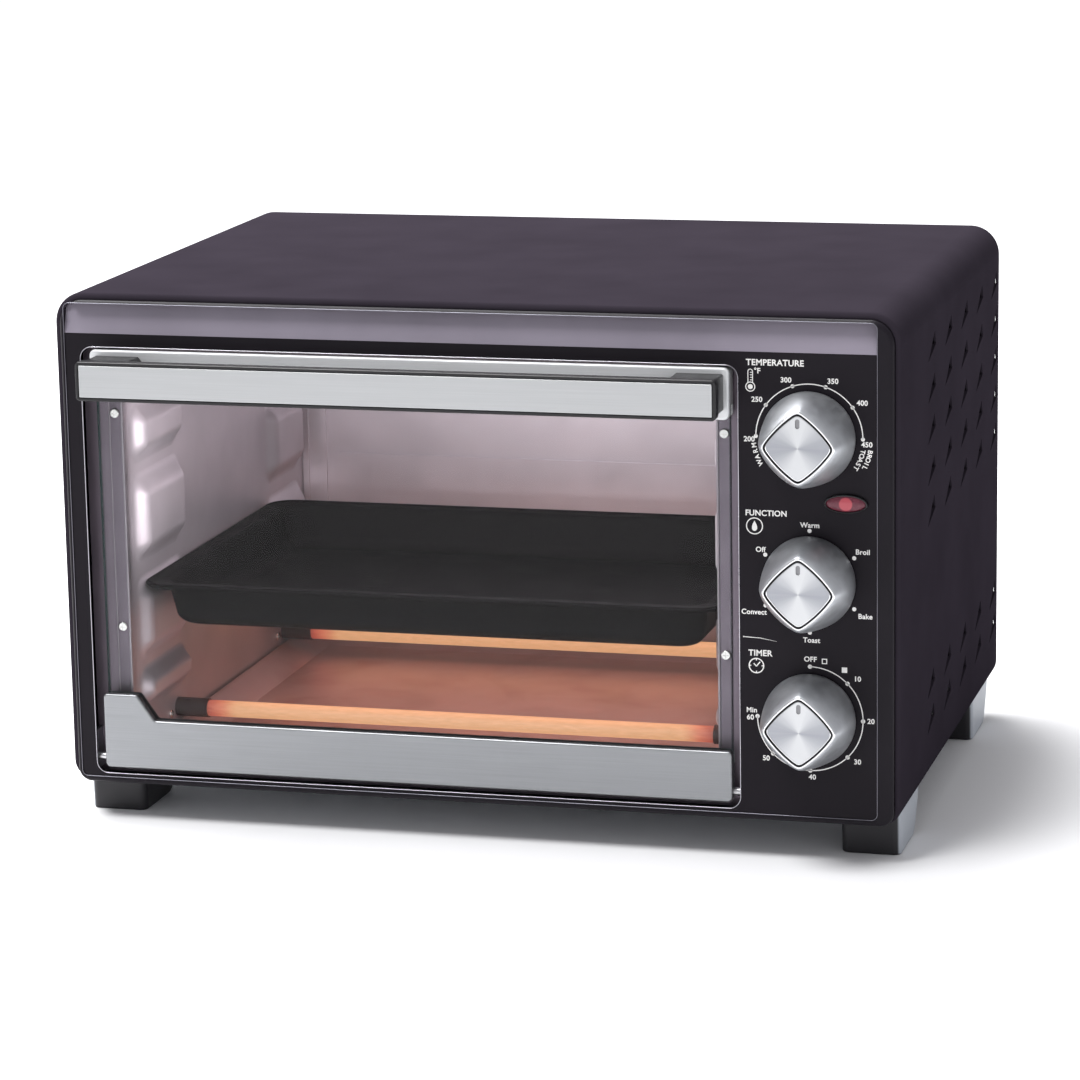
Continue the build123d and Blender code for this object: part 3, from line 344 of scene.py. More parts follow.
def spun_face(name):
    """Face turned on a lathe: fine rings, with soft sectors of painted reflection in its colour."""
    s = Surface(name, (0.60, 0.61, 0.63), 0.42, metallic=1.0)
    rings = s.add("ShaderNodeTexNoise", noise_dimensions="1D")
    s.put(rings.inputs["W"], s.math("MULTIPLY", s.radius(), 9000.0))
    # Painted reflection: lighter at top and bottom, darker at the sides, with a random fan of
    # lighter and darker sectors.
    angle = s.math("ARCTAN2", s.axis("Z"), s.axis("X"))
    painted_reflection_wedge = s.math("MULTIPLY", s.math("COSINE", s.math("MULTIPLY", angle, 2.0)), -0.5)
    fan = s.add("ShaderNodeTexNoise", {"Scale": 1.0, "Detail": 3.0}, noise_dimensions="1D")
    s.put(fan.inputs["W"], s.math("MULTIPLY", angle, 3.0))
    # The tone mixes the painted reflection with the real lathe rings.
    tone = s.math("ADD", s.math("ADD", painted_reflection_wedge, 0.5), s.math("MULTIPLY", fan.outputs[0], 0.25))
    tone = s.math("ADD", tone, s.math("MULTIPLY", rings.outputs["Fac"], 0.10))
    s.paint(s.mix(s.spread(tone, 0.10, 1.10), (0.33, 0.34, 0.37), (0.60, 0.61, 0.62)))
    s.bump(rings.outputs["Fac"], 0.0000008)
    return s.material


def print_ink(name):
    """White screen print, slightly uneven."""
    s = Surface(name, (0.80, 0.79, 0.77), 0.55)
    s.shades(0.06, 0.0015, 3.0)
    s.bump(s.noise(0.0003), 0.000006)
    return s.material


def lamp_red(name):
    """Red lens over a round neon lamp: darker around, rosy where the lamp sits behind."""
    s = Surface(name, (0.10, 0.028, 0.040), 0.16, Specular_IOR_Level=0.25, Coat_Weight=0.2,
                Coat_Roughness=0.05)
    spot = s.spread(s.radius(), 0.0029, 0.0034, 1.0, 0.0)
    frost = s.spread(s.noise(0.0012, 3.0), 0.3, 0.7)
    shell = s.mix(frost, (0.105, 0.022, 0.036), (0.155, 0.036, 0.054))
    s.paint(s.mix(spot, shell, (0.40, 0.075, 0.095)))
    s.put(s.shader.inputs["Emission Color"], s.mix(spot, (0.03, 0.002, 0.005), (0.30, 0.03, 0.04)))
    s.shader.inputs["Emission Strength"].default_value = 0.25
    s.bump(s.cells(0.0011), 0.00001)
    return s.material


MATERIALS = {
    "casing_paint": powder_coat("casing_powder_coat", (0.027, 0.0225, 0.0300), 0.56, 0.0),
    "bezel_paint": powder_coat("bezel_satin_black", (0.0105, 0.0085, 0.0120), 0.40, 0.12, 0.0004,
                               0.000008),
    "header_paint": powder_coat("header_grey", (0.235, 0.212, 0.257), 0.42, 0.20, 0.0004,
                                0.000010),
    "panel_paint": powder_coat("panel_satin_black", (0.0100, 0.0080, 0.0112), 0.42, 0.11, 0.0004,
                               0.000006),
    "galvanised_steel": galvanised("galvanised_steel"),
    "black_plastic": moulded_plastic("black_moulding", (0.010, 0.0095, 0.011), 0.34),
    "foot_plastic": foot_plastic("foot_moulding"),
    "zinc_screws": satin_metal("zinc_plate", (0.55, 0.55, 0.56), 0.32),
    "bright_screws": satin_metal("bright_nickel", (0.72, 0.70, 0.68), 0.22),
    "cavity_steel": cavity_steel("aluminised_sheet"),
    "tray_steel": tray_steel("crumb_tray_painted_glow"),
    "heater_wire": heater_wire("resistance_wire"),
    "heater_ceramic": heater_ceramic("heater_ends"),
    "control_body": moulded_plastic("phenolic_body", (0.30, 0.27, 0.22), 0.5),
    "bell_steel": satin_metal("bell_plate", (0.62, 0.62, 0.62), 0.2),
    "lamp_glass": moulded_plastic("lamp_holder", (0.35, 0.30, 0.26), 0.5),
    "motor_steel": satin_metal("motor_laminations", (0.30, 0.30, 0.31), 0.5, 0.0008, 0.00004),
    "door_glass": pane("toughened_glass"),
    "trim_aluminium": brushed("trim_brushed", (0.74, 0.75, 0.76), 0.45, 0, metallic=0.35),
    "trim_aluminium_dark": brushed("lower_trim_brushed", (0.285, 0.292, 0.303), 0.42, 0),
    "handle_aluminium": brushed("handle_brushed", (0.455, 0.463, 0.468), 0.40, 0),
    "pan_enamel": enamel("pan_enamel"),
    "fan_aluminium": satin_metal("fan_aluminium", (0.60, 0.61, 0.62), 0.35),
    "shaft_steel": satin_metal("turned_steel", (0.50, 0.50, 0.51), 0.25),
    "knob_silver": bead_blasted("knob_bead_blast"),
    "knob_face": spun_face("knob_spun_face_painted_reflection"),
}
FLANGE = cavity_steel("flange_sheet", (0.20, 0.165, 0.20), 0.45)
# Lighter metal on the thin beads along black-painted edges: a painted highlight line, dimmer on the
# window.
EDGE_HIGHLIGHT_METAL = satin_metal("painted_highlight_edge", (0.50, 0.49, 0.53), 0.30, 0.0003, 0.000003, 0.03)
WINDOW_EDGE_HIGHLIGHT = satin_metal("window_edge", (0.20, 0.195, 0.225), 0.35, 0.0003, 0.000003, 0.05)
# Lighter copy of the flange's sheet on its folds: a painted highlight.
FOLD_HIGHLIGHT = cavity_steel("flange_fold_painted_highlight", (0.36, 0.32, 0.35), 0.42)
# Darker metal on the pointer slot's faces: painted shade in the shallow recess.
POINTER = satin_metal("pointer_slot_painted_shade", (0.27, 0.27, 0.28), 0.5)
INK = print_ink("white_print")
# Groove colour: partly its own black, partly painted shade in the recess.
GROOVE = moulded_plastic("knob_groove_dark_and_shaded", (0.010, 0.010, 0.012), 0.5)
KNOB_RIM = satin_metal("knob_bright_rim", (0.78, 0.79, 0.80), 0.16, 0.0003, 0.000003, 0.03)
LENS = lamp_red("lamp_lens_red")


def dress_cad():
    """Give every CAD node the material of its slot."""
    low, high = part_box("lower_heater_tubes")
    MATERIALS["quartz"] = glowing_quartz("quartz_lit", low.x, high.x, True)
    dark_tube = glowing_quartz("quartz_unlit", low.x, high.x, False)
    for node in NODES.values():
        slot = node.data.materials[0].name.split(".")[0]
        node.data.materials[0] = MATERIALS.get(slot, MATERIALS["black_plastic"])
    NODES["upper_heater_tubes"].data.materials[0] = dark_tube
    NODES["cavity_front_flange"].data.materials[0] = FLANGE


# ---- mesh helpers -------------------------------------------------------------------------
def in_scene(name, data):
    """New object for some data, linked into the scene."""
    made = bpy.data.objects.new(name, data)
    bpy.context.scene.collection.objects.link(made)
    return made


def worked_out(thing):
    """Mesh that an object's curve, text or modifiers give."""
    bpy.context.view_layer.update()
    graph = bpy.context.evaluated_depsgraph_get()
    return bpy.data.meshes.new_from_object(thing.evaluated_get(graph))


def new_piece(name, mesh, body, materials, at=(0, 0, 0)):
    """Wrap a mesh as a piece that rides on a body."""
    piece = in_scene(name, mesh)
    piece.location = at
    for material in materials:
        mesh.materials.append(material)
    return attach(piece, body)


def strip(mesh, first, second):
    """Quads between two closed rows with the same number of points."""
    for i in range(len(first)):
        j = (i + 1) % len(first)
        mesh.faces.new((first[i], first[j], second[j], second[i]))


def loft(loops, caps=False):
    """Mesh of quads between loops with the same number of points, and each face's band."""
    mesh = bmesh.new()
    rows = [[mesh.verts.new(p) for p in loop] for loop in loops]
    bands = []
    for band in range(len(rows) - 1):
        strip(mesh, rows[band], rows[band + 1])
        bands += [band] * len(loops[0])
    if caps:
        mesh.faces.new(list(reversed(rows[0])))
        mesh.faces.new(rows[-1])
        bands += [0, len(rows) - 2]
    return mesh, bands


def finish_mesh(mesh, name, sharp_angle=35.0):
    """Turn a bmesh into a mesh with outward normals, smooth but for its sharp edges."""
    bmesh.ops.recalc_face_normals(mesh, faces=mesh.faces)
    limit = math.radians(sharp_angle)
    for edge in mesh.edges:
        if len(edge.link_faces) == 2 and edge.calc_face_angle(0.0) > limit:
            edge.smooth = False
    for face in mesh.faces:
        face.smooth = True
    data = bpy.data.meshes.new(name)
    mesh.to_mesh(data)
    mesh.free()
    return data


# ---- knobs --------------------------------------------------------------------------------
KNOB_STEPS = 192
DOME_STEPS = 22
SIDE_ARC = 60 * MM  # radius of the slightly bulging sides of the grip
CORNER_POWER = 16.0  # how tight the grip's corners are
DOME_POWER = 1.35  # 1 for a quarter ellipse from skirt to grip, 2 for a straight cone
DOME_HOLLOW = 0.25  # how much sooner the dome meets the middle of the grip's sides
SKIRT = 2.2 * MM  # height of the straight skirt
FRAME_HALF = 13.9 * MM  # half width of the square frame around the face
FACE_HALF = 12.5 * MM
FRAME_DROP = 0.5 * MM  # from the frame's front down to the end of the dome
FRAME_FLARE = 0.35 * MM  # how far the dome's end stands outside the frame
FRAME_T = 0.55 * MM
GROOVE_DEEP = 1.5 * MM  # depth of the groove between the frame and the face
POINTER_W = 2.1 * MM
POINTER_H = 4.6 * MM
POINTER_DEEP = 0.45 * MM
POINTER_UP = 0.93  # height of the pointer slot, as a share of the face's half width


def grip_radius(angle, half):
    """Distance from the knob's axis to a rounded square that stands on its corner."""
    total = 0.0
    for side in range(4):
        turn = angle - math.radians(45 + 90 * side)
        reach = (half - SIDE_ARC) * math.cos(turn)
        inside = SIDE_ARC ** 2 - ((half - SIDE_ARC) * math.sin(turn)) ** 2
        if math.cos(turn) > 0 and inside > 0:
            distance = reach + math.sqrt(inside)
            total += distance ** -CORNER_POWER
    return total ** (-1 / CORNER_POWER)


def knob_loop(reach_at, depth):
    """Loop of points around the knob's axis, at a depth in front of its back."""
    points = []
    for step in range(KNOB_STEPS):
        angle = 2 * math.pi * step / KNOB_STEPS
        reach = reach_at(angle)
        points.append((reach * math.cos(angle), -depth, reach * math.sin(angle)))
    return points


def circle_loop(radius, depth):
    return knob_loop(lambda angle: radius, depth)


def grip_loop(half, depth):
    return knob_loop(lambda angle: grip_radius(angle, half), depth)


def dome_loop(radius, half, share, depth):
    """Loop between the round skirt (share 0) and the grip's outline (share 1)."""
    def reach_at(angle):
        hollow = 1 - DOME_HOLLOW * math.sin(2 * angle) ** 2
        return radius + (grip_radius(angle, half) - radius) * share ** hollow

    return knob_loop(reach_at, depth)


def knob_body(name, back, radius, height):
    """Domed body that runs from a round skirt up to a square frame, with a groove in it whose dark
    colour is partly its own black and partly painted shade.
    """
    foot_round = 0.4 * MM
    loops = [circle_loop(radius - 4 * foot_round, 0.0), circle_loop(radius - foot_round, 0.0),
             circle_loop(radius, foot_round), circle_loop(radius, SKIRT)]
    for step in range(1, DOME_STEPS + 1):
        turn = math.pi / 2 * step / DOME_STEPS
        share = 1 - math.cos(turn) ** DOME_POWER
        depth = SKIRT + (height - FRAME_DROP - SKIRT) * math.sin(turn) ** DOME_POWER
        loops.append(dome_loop(radius, FRAME_HALF + FRAME_FLARE, share, depth))
    bright_from = len(loops) - 2
    loops.append(grip_loop(FRAME_HALF, height))
    loops.append(grip_loop(FRAME_HALF - FRAME_T, height))
    groove_from = len(loops) - 1
    loops.append(grip_loop(FRAME_HALF - FRAME_T - 0.07 * MM, height - GROOVE_DEEP))
    loops.append(grip_loop(FACE_HALF - 2.5 * MM, height - GROOVE_DEEP))
    mesh, bands = loft(loops, caps=True)
    for face, band in zip(list(mesh.faces), bands):
        face.material_index = 2 if band >= groove_from else int(band > bright_from)
    body = new_piece(name + "_knob_body", finish_mesh(mesh, name + "_knob_body"),
                     name + "_control", [MATERIALS["knob_silver"], KNOB_RIM, GROOVE],
                     back)
    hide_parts(name + "_knob")


def knob_plate(name, back, height, front):
    """Face plate with a bright chamfer, set in the frame, with its pointer slot."""
    loops = [grip_loop(FACE_HALF, height - GROOVE_DEEP - 0.1 * MM),
             grip_loop(FACE_HALF, front - 0.45 * MM),
             grip_loop(FACE_HALF - 0.12 * MM, front - 0.16 * MM),
             grip_loop(FACE_HALF - 0.45 * MM, front)]
    mesh = loft(loops, caps=True)[0]
    for face in mesh.faces:
        face.material_index = 0 if len(face.verts) > 4 else 1
    disc = new_piece(name + "_knob_plate", finish_mesh(mesh, name + "_knob_plate", 25),
                     name + "_control", [MATERIALS["knob_face"], KNOB_RIM], back)
    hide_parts(name + "_knob_face")
    cut_pointer(disc, front)


def knob(name):
    low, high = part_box(name + "_knob")
    middle = (low + high) / 2
    back = Vector((middle.x, high.y, middle.z))
    height = high.y - low.y
    knob_body(name, back, (high.x - low.x) / 2, height)
    knob_plate(name, back, height, high.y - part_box(name + "_knob_face")[0].y)


def cut_pointer(disc, front):
    """Cut the shallow pointer slot near the top corner of a knob's face, and give its faces darker
    metal as painted shade.
    """
    slot = pill(POINTER_W, POINTER_H, 24)
    mesh = loft([[(x, -front + POINTER_DEEP, z) for x, z in slot],
                 [(x, -front - 1 * MM, z) for x, z in slot]], caps=True)[0]
    tool = in_scene("pointer_tool", finish_mesh(mesh, "pointer_tool"))
    up = FACE_HALF * POINTER_UP
    tool.location = disc.location + Vector((0, 0, up))
    cut = disc.modifiers.new("pointer", "BOOLEAN")
    cut.object = tool
    cut.solver = "EXACT"
    disc.data = worked_out(disc)
    disc.modifiers.clear()
    bpy.data.objects.remove(tool)
    disc.data.materials.append(POINTER)
    slack = 0.02 * MM
    for polygon in disc.data.polygons:
        polygon.use_smooth = abs(polygon.normal.y) < 0.99
        middle = polygon.center
        near = abs(middle.x) < POINTER_W * 0.57 and abs(middle.z - up) < POINTER_H * 0.54
        if near and slack < middle.y + front < POINTER_DEEP + slack:
            polygon.material_index = len(disc.data.materials) - 1


def pill(width, height, steps):
    """Outline of an upright pill, as (x, z)."""
    points = []
    radius = width / 2
    for step in range(steps):
        angle = 2 * math.pi * step / steps
        lift = (height / 2 - radius) * (1 if math.sin(angle) >= 0 else -1)
        points.append((radius * math.cos(angle), lift + radius * math.sin(angle)))
    return points


# ---- heater coils -------------------------------------------------------------------------
COIL_R = 2.0 * MM  # outside radius of the winding
COIL_PITCH = 1.9 * MM
WIRE_R = 0.32 * MM


def heater_coils():
    """Wound resistance wire inside each quartz tube."""
    low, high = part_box("heater_coils")
    tubes = []
    for node in ("lower_heater_tubes", "upper_heater_tubes"):
        tube_low, tube_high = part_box(node)
        tube = (tube_high.z - tube_low.z) / 2
        for y in (tube_low.y + tube, tube_high.y - tube):
            tubes.append((y, tube_low.z + tube))
    turn_radius = COIL_R - WIRE_R
    steps = 10
    curve = bpy.data.curves.new("heater_coil_windings", "CURVE")
    curve.dimensions = "3D"
    curve.bevel_depth = WIRE_R
    curve.bevel_resolution = 1
    turns = int((high.x - low.x) / COIL_PITCH)
    for y, z in tubes:
        spline = curve.splines.new("POLY")
        spline.points.add(turns * steps)
        for i, point in enumerate(spline.points):
            angle = 2 * math.pi * i / steps
            x = low.x + (high.x - low.x) * i / (turns * steps)
            point.co = (x, y + turn_radius * math.cos(angle), z + turn_radius * math.sin(angle), 1)
    holder = in_scene("coil_path", curve)
    mesh = worked_out(holder)
    bpy.data.objects.remove(holder)
    mesh.materials.clear()
    for polygon in mesh.polygons:
        polygon.use_smooth = True
    coils = new_piece("heater_coil_windings", mesh, "housing", [MATERIALS["heater_wire"]])
    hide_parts("heater_coils")


# ---- baking pan ---------------------------------------------------------------------------
def rounded_rectangle(low, high, radius, z, steps=12):
    """Loop around a rectangle with round corners, at a height."""
    points = []
    corners = ((high.x - radius, high.y - radius, 0), (low.x + radius, high.y - radius, 90),
               (low.x + radius, low.y + radius, 180), (high.x - radius, low.y + radius, 270))
    for x, y, start in corners:
        for step in range(steps + 1):
            angle = math.radians(start + 90 * step / steps)
            points.append((x + radius * math.cos(angle), y + radius * math.sin(angle), z))
    return points


def inset(low, high, amount):
    step = Vector((amount, amount, 0))
    return low + step, high - step


PAN_SHEET = 1.0 * MM
PAN_CORNER = 14 * MM
PAN_ROLL = 1.3 * MM  # radius of the rolled edge
PAN_BEND = 8.0 * MM  # radius between the walls and the floor
PAN_LEAN = math.tan(math.radians(12))
ROLL_POINTS = 15  # points of the section that belong to the rolled edge
BEND_POINTS = 10


def pan_profile(top, floor):
    """Section of the pan's upper side, from under the rolled edge to the floor, as
    (distance in from the outer edge, height)."""
    points = []
    for step in range(ROLL_POINTS):
        turn = math.radians(-150 + 270 * step / (ROLL_POINTS - 1))
        points.append((PAN_ROLL * (1 - math.cos(turn)),
                       top - PAN_ROLL + PAN_ROLL * math.sin(turn)))
    wall_in, wall_drop = 10.9 * MM, 3.4 * MM
    points += [(2.6 * MM, top - 0.65 * MM), (8.4 * MM, top - 0.7 * MM), (9.5 * MM, top - 1.0 * MM),
               (10.3 * MM, top - 1.8 * MM), (wall_in, top - wall_drop)]
    inner_floor = floor + PAN_SHEET
    wall_foot = wall_in + (top - wall_drop - inner_floor - PAN_BEND) * PAN_LEAN
    for step in range(BEND_POINTS):
        turn = math.pi / 2 * step / (BEND_POINTS - 1)
        points.append((wall_foot + PAN_BEND * (1 - math.cos(turn)),
                       inner_floor + PAN_BEND * (1 - math.sin(turn))))
    points.append((wall_foot + 3 * PAN_BEND, inner_floor))
    return points


def baking_pan():
    """Pressed pan: rolled edge, flat flange, sloping walls and a flat floor."""
    low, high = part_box("baking_pan")
    upper = pan_profile(high.z, low.z)

    def loop(amount, z):
        a, b = inset(low, high, amount)
        return rounded_rectangle(a, b, max(2.5 * MM, PAN_CORNER - amount * 0.35), z)

    ring = [loop(*point) for point in upper]
    wall_top = high.z - 1.5 * MM  # below it the sheet's thickness is measured sideways too
    under = [(amount - PAN_SHEET * (z < wall_top), z - PAN_SHEET)
             for amount, z in upper[ROLL_POINTS:]]
    ring += [loop(*point) for point in reversed(under)]
    mesh = bmesh.new()
    rows = [[mesh.verts.new(p) for p in points] for points in ring]
    rows.append(rows[0])
    floor_row = len(upper) - 1
    for row in range(len(rows) - 1):
        if row != floor_row:
            strip(mesh, rows[row], rows[row + 1])
    mesh.faces.new(rows[floor_row])
    mesh.faces.new(rows[floor_row + 1])
    pan = new_piece("baking_pan_enamelled", finish_mesh(mesh, "baking_pan_enamelled", 50), "pan",
                    [MATERIALS["pan_enamel"]])
    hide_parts("baking_pan")


# ---- rack supports ------------------------------------------------------------------------
def islands(node):
    """Lowest and highest corner of each separate solid in a node."""
    mesh = bmesh.new()
    mesh.from_mesh(NODES[node].data)
    bmesh.ops.remove_doubles(mesh, verts=mesh.verts, dist=0.01 * MM)
    left = set(mesh.verts)
    boxes = []
    while left:
        group = {left.pop()}
        edge_of = list(group)
        while edge_of:
            near = {e.other_vert(v) for v in edge_of for e in v.link_edges} - group
            group |= near
            edge_of = list(near)
        left -= group
        points = [v.co for v in group]
        boxes.append((Vector(min(p[i] for p in points) for i in range(3)),
                      Vector(max(p[i] for p in points) for i in range(3))))
    mesh.free()
    return sorted(boxes, key=lambda box: tuple(box[0]))


def pressed_height(y, z, low, high):
    """How far a support stands out at a point, from 0 on the wall to 1 on its flat face."""
    soft = 1.2 * MM  # how far the blend runs out onto the wall
    corner = 10 * MM
    half_y, half_z = (high.y - low.y) / 2, (high.z - low.z) / 2
    border = min(9 * MM, half_z * 0.66)
    qy = abs(y - (low.y + high.y) / 2) - half_y + corner
    qz = abs(z - (low.z + high.z) / 2) - half_z + corner
    inside = corner - math.hypot(max(qy, 0), max(qz, 0)) - min(max(qy, qz), 0)
    share = min(1.0, max(0.0, (inside + soft) / (border + 2 * soft)))
    return share * share * (3 - 2 * share)


def rack_supports(side, wall, outward):
    """Supports pressed out of a side wall, blending softly into the sheet around them."""
    node = "rack_supports_" + side
    wall_low, wall_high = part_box(wall)
    base = wall_high.x if outward > 0 else wall_low.x
    margin = 1.4 * MM
    grid = 1.25 * MM
    behind = 0.5 * MM
    mesh = bmesh.new()
    for low, high in islands(node):
        depth = (high.x - base) if outward > 0 else (base - low.x)
        rows = int((high.z - low.z + 2 * margin) / grid)
        columns = int((high.y - low.y + 2 * margin) / grid)
        skins = []
        for offset in (0.03 * MM, -behind):
            skin = []
            for row in range(rows + 1):
                z = low.z - margin + (high.z - low.z + 2 * margin) * row / rows
                line = []
                for column in range(columns + 1):
                    y = low.y - margin + (high.y - low.y + 2 * margin) * column / columns
                    lift = offset + (depth - 0.1 * MM) * pressed_height(y, z, low, high)
                    line.append(mesh.verts.new((base + outward * lift, y, z)))
                skin.append(line)
            skins.append(skin)
        for skin in skins:
            for row in range(rows):
                for column in range(columns):
                    mesh.faces.new((skin[row][column], skin[row][column + 1],
                                    skin[row + 1][column + 1], skin[row + 1][column]))
        rims = []
        for skin in skins:
            rims.append(skin[0][:-1] + [line[-1] for line in skin[:-1]]
                        + skin[-1][:0:-1] + [line[0] for line in skin[:0:-1]])
        strip(mesh, *rims)
    piece = new_piece(node + "_pressed", finish_mesh(mesh, node + "_pressed", 60), "housing",
                      [MATERIALS["cavity_steel"]])
    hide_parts(node)


# ---- rolled edges on the front ------------------------------------------------------------
def edge_bead(name, low, high, corner, y, radius, material=EDGE_HIGHLIGHT_METAL):
    """Thin rolled edge that runs around an opening in the front."""
    steps = 10
    loops = []
    for turn in range(steps):
        angle = 2 * math.pi * turn / steps
        shift = radius * math.cos(angle)
        outline = rounded_rectangle(
            Vector((low.x - shift, low.z - shift, 0)), Vector((high.x + shift, high.z + shift, 0)),
            corner + shift, 0)
        loops.append([(x, y + radius * math.sin(angle), z) for x, z, _ in outline])
    loops.append(loops[0])
    mesh = loft(loops)[0]
    bmesh.ops.remove_doubles(mesh, verts=mesh.verts, dist=0.001 * MM)
    new_piece(name, finish_mesh(mesh, name, 80), "housing", [material])


def front_edges():
    """Edges around the control panel's window and around the door's opening, in lighter metal than
    the black paint beside them as painted highlight lines.
    """
    low, high = PANEL_LOW, Vector((PANEL_HIGH.x, PANEL_HIGH.y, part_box("header_strip")[1].z))
    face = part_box("front_bezel")[0].y
    edge_bead("bezel_window_edge", low, high, 3 * MM, face + 0.35 * MM, 0.20 * MM, WINDOW_EDGE_HIGHLIGHT)
    middle = [v.co for v in NODES["front_panel"].data.vertices
              if PANEL_LOW.x + 6 * MM < v.co.x < KNOB_CENTRE["timer"].x - 25 * MM
              and v.co.z > PANEL_LOW.z + 1 * MM]
    opening_low = Vector((min(v.x for v in middle), 0, min(v.z for v in middle)))
    opening_high = Vector((max(v.x for v in middle), 0, max(v.z for v in middle)))
    edge_bead("door_opening_edge", opening_low, opening_high, 6 * MM,
              PANEL_FACE - 0.05 * MM, 0.22 * MM)
    # Folds around the cavity's mouth: one at its edge and one stepped into the flange, both in a
    # lighter copy of the flange's sheet as painted highlight.
    mouth_low = Vector((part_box("cavity_left_wall")[1].x, 0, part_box("cavity_floor")[1].z))
    mouth_high = Vector((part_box("cavity_right_wall")[0].x, 0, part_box("cavity_top")[0].z))
    flange_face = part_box("cavity_front_flange")[0].y
    step = Vector((6.5 * MM, 0, 1.5 * MM))
    edge_bead("cavity_mouth_fold", mouth_low, mouth_high, 3 * MM, flange_face, 0.7 * MM, FOLD_HIGHLIGHT)
    edge_bead("flange_step", mouth_low - step, mouth_high + step, 3 * MM, flange_face, 0.35 * MM,
              FOLD_HIGHLIGHT)


# ---- indicator lens -----------------------------------------------------------------------
def lamp_lens():
    """Domed oval lens in a thin collar."""
    low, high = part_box("lamp_lens")
    middle = (low + high) / 2
    back = high.y - low.y
    lip = 1.2 * MM  # how far the flange behind the panel is wider than the lens
    rx = (high.x - low.x) / 2 - lip
    rz = (high.z - low.z) / 2 - lip
    collar = 0.7 * MM
    bevel = 0.3 * MM
    dome = 1.1 * MM
    steps = 96

    def oval(x_radius, z_radius, y):
        return [(x_radius * math.cos(2 * math.pi * i / steps), y,
                 z_radius * math.sin(2 * math.pi * i / steps)) for i in range(steps)]

    loops = [oval(rx + lip, rz + lip, back), oval(rx + lip, rz + lip, back - lip),
             oval(rx, rz, back - lip), oval(rx, rz, bevel), oval(rx - bevel, rz - bevel, 0),
             oval(rx - collar, rz - collar, 0.1 * MM), oval(rx - collar, rz - collar, dome)]
    collar_bands = len(loops) - 1
    for step in range(1, 12):
        angle = math.pi / 2 * step / 12
        loops.append(oval((rx - collar) * math.cos(angle), (rz - collar) * math.cos(angle),
                          dome * (1 - math.sin(angle))))
    mesh, bands = loft(loops, caps=True)
    for face, band in zip(list(mesh.faces), bands):
        face.material_index = int(band < collar_bands)
    lens = new_piece("lamp_lens_domed", finish_mesh(mesh, "lamp_lens_domed", 40), "housing",
                     [LENS, MATERIALS["black_plastic"]], (middle.x, low.y, middle.z))
    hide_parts("lamp_lens")


# ---- printed legends ----------------------------------------------------------------------
INK_T = 0.05 * MM
CAP_SHARE = 0.7  # height of a capital as a share of the font size
BOLD = 0.035  # how far the letters are thickened, as a share of their height
LINE = 0.5  # width of the scales' lines, mm


class Legend:
    """Printed marks around one control, gathered into one thin piece."""

    def __init__(self, name, middle):
        self.name = name
        self.middle = middle
        self.parts = []

    def words(self, text, x, z, height, turn=0.0):
        """Text with its middle height at (x, z) mm from the control's centre."""
        curve = bpy.data.curves.new("text", "FONT")
        curve.body = text
        curve.size = height * MM / CAP_SHARE
        curve.align_x = "CENTER"
        curve.offset = BOLD * height * MM
        curve.resolution_u = 6
        curve.extrude = INK_T / 2
        curve.space_character = 1.04
        holder = in_scene("text", curve)
        mesh = worked_out(holder)
        bpy.data.objects.remove(holder)
        mesh.transform(Matrix.Translation((0, -height * MM / 2, 0)))
        mesh.transform(Matrix.Rotation(-math.radians(turn), 4, "Z"))
        mesh.transform(Matrix.Translation((x * MM, z * MM, 0)))
        self.parts.append(mesh)

    def shape(self, outline, hole=None):
        """Flat shape, or a ring between two outlines with the same number of points."""
        mesh = bmesh.new()
        rows = [[mesh.verts.new((x * MM, z * MM, INK_T / 2)) for x, z in points]
                for points in (outline, hole) if points]
        if hole:
            strip(mesh, *rows)
        else:
            mesh.faces.new(rows[0])
        data = bpy.data.meshes.new("shape")
        mesh.to_mesh(data)
        mesh.free()
        self.parts.append(data)

    def dot(self, x, z, radius):
        self.shape(around(x, z, radius))

    def ring(self, x, z, radius, line=LINE):
        self.shape(around(x, z, radius), around(x, z, radius - line))

    def arc(self, radius, start, end, line=LINE, x=0.0, z=0.0):
        """Stroke along a circle, in degrees clockwise from the top."""
        steps = max(8, int(abs(end - start) / 2))
        outer = [polar(radius + line / 2, start + (end - start) * i / steps, x, z)
                 for i in range(steps + 1)]
        inner = [polar(radius - line / 2, start + (end - start) * i / steps, x, z)
                 for i in range(steps + 1)]
        for i in range(steps):
            self.shape([outer[i], outer[i + 1], inner[i + 1], inner[i]])

    def stroke(self, x0, z0, x1, z1, line0, line1=None):
        """Straight stroke that may taper."""
        line1 = line0 if line1 is None else line1
        length = math.hypot(x1 - x0, z1 - z0)
        nx, nz = -(z1 - z0) / length, (x1 - x0) / length
        self.shape([(x0 + nx * line0 / 2, z0 + nz * line0 / 2),
                    (x0 - nx * line0 / 2, z0 - nz * line0 / 2),
                    (x1 - nx * line1 / 2, z1 - nz * line1 / 2),
                    (x1 + nx * line1 / 2, z1 + nz * line1 / 2)])

    def curved(self, text, radius, start, step, height):
        """Word around the control, one letter at a time, its top outwards."""
        for i, letter in enumerate(text):
            angle = start + step * i
            x, z = polar(radius, angle)
            self.words(letter, x, z, height, turn=angle)

    def finish(self):
        """Join the marks, stand them up and lay them on the panel's face."""
        joined = bmesh.new()
        for mesh in self.parts:
            joined.from_mesh(mesh)
            bpy.data.meshes.remove(mesh)
        data = bpy.data.meshes.new(self.name)
        bmesh.ops.transform(joined, matrix=Matrix.Rotation(math.pi / 2, 4, "X"),
                            verts=joined.verts)
        bmesh.ops.recalc_face_normals(joined, faces=joined.faces)
        joined.to_mesh(data)
        joined.free()
        new_piece(self.name, data, "housing", [INK],
                  (self.middle.x, PANEL_FACE - INK_T / 2, self.middle.z))


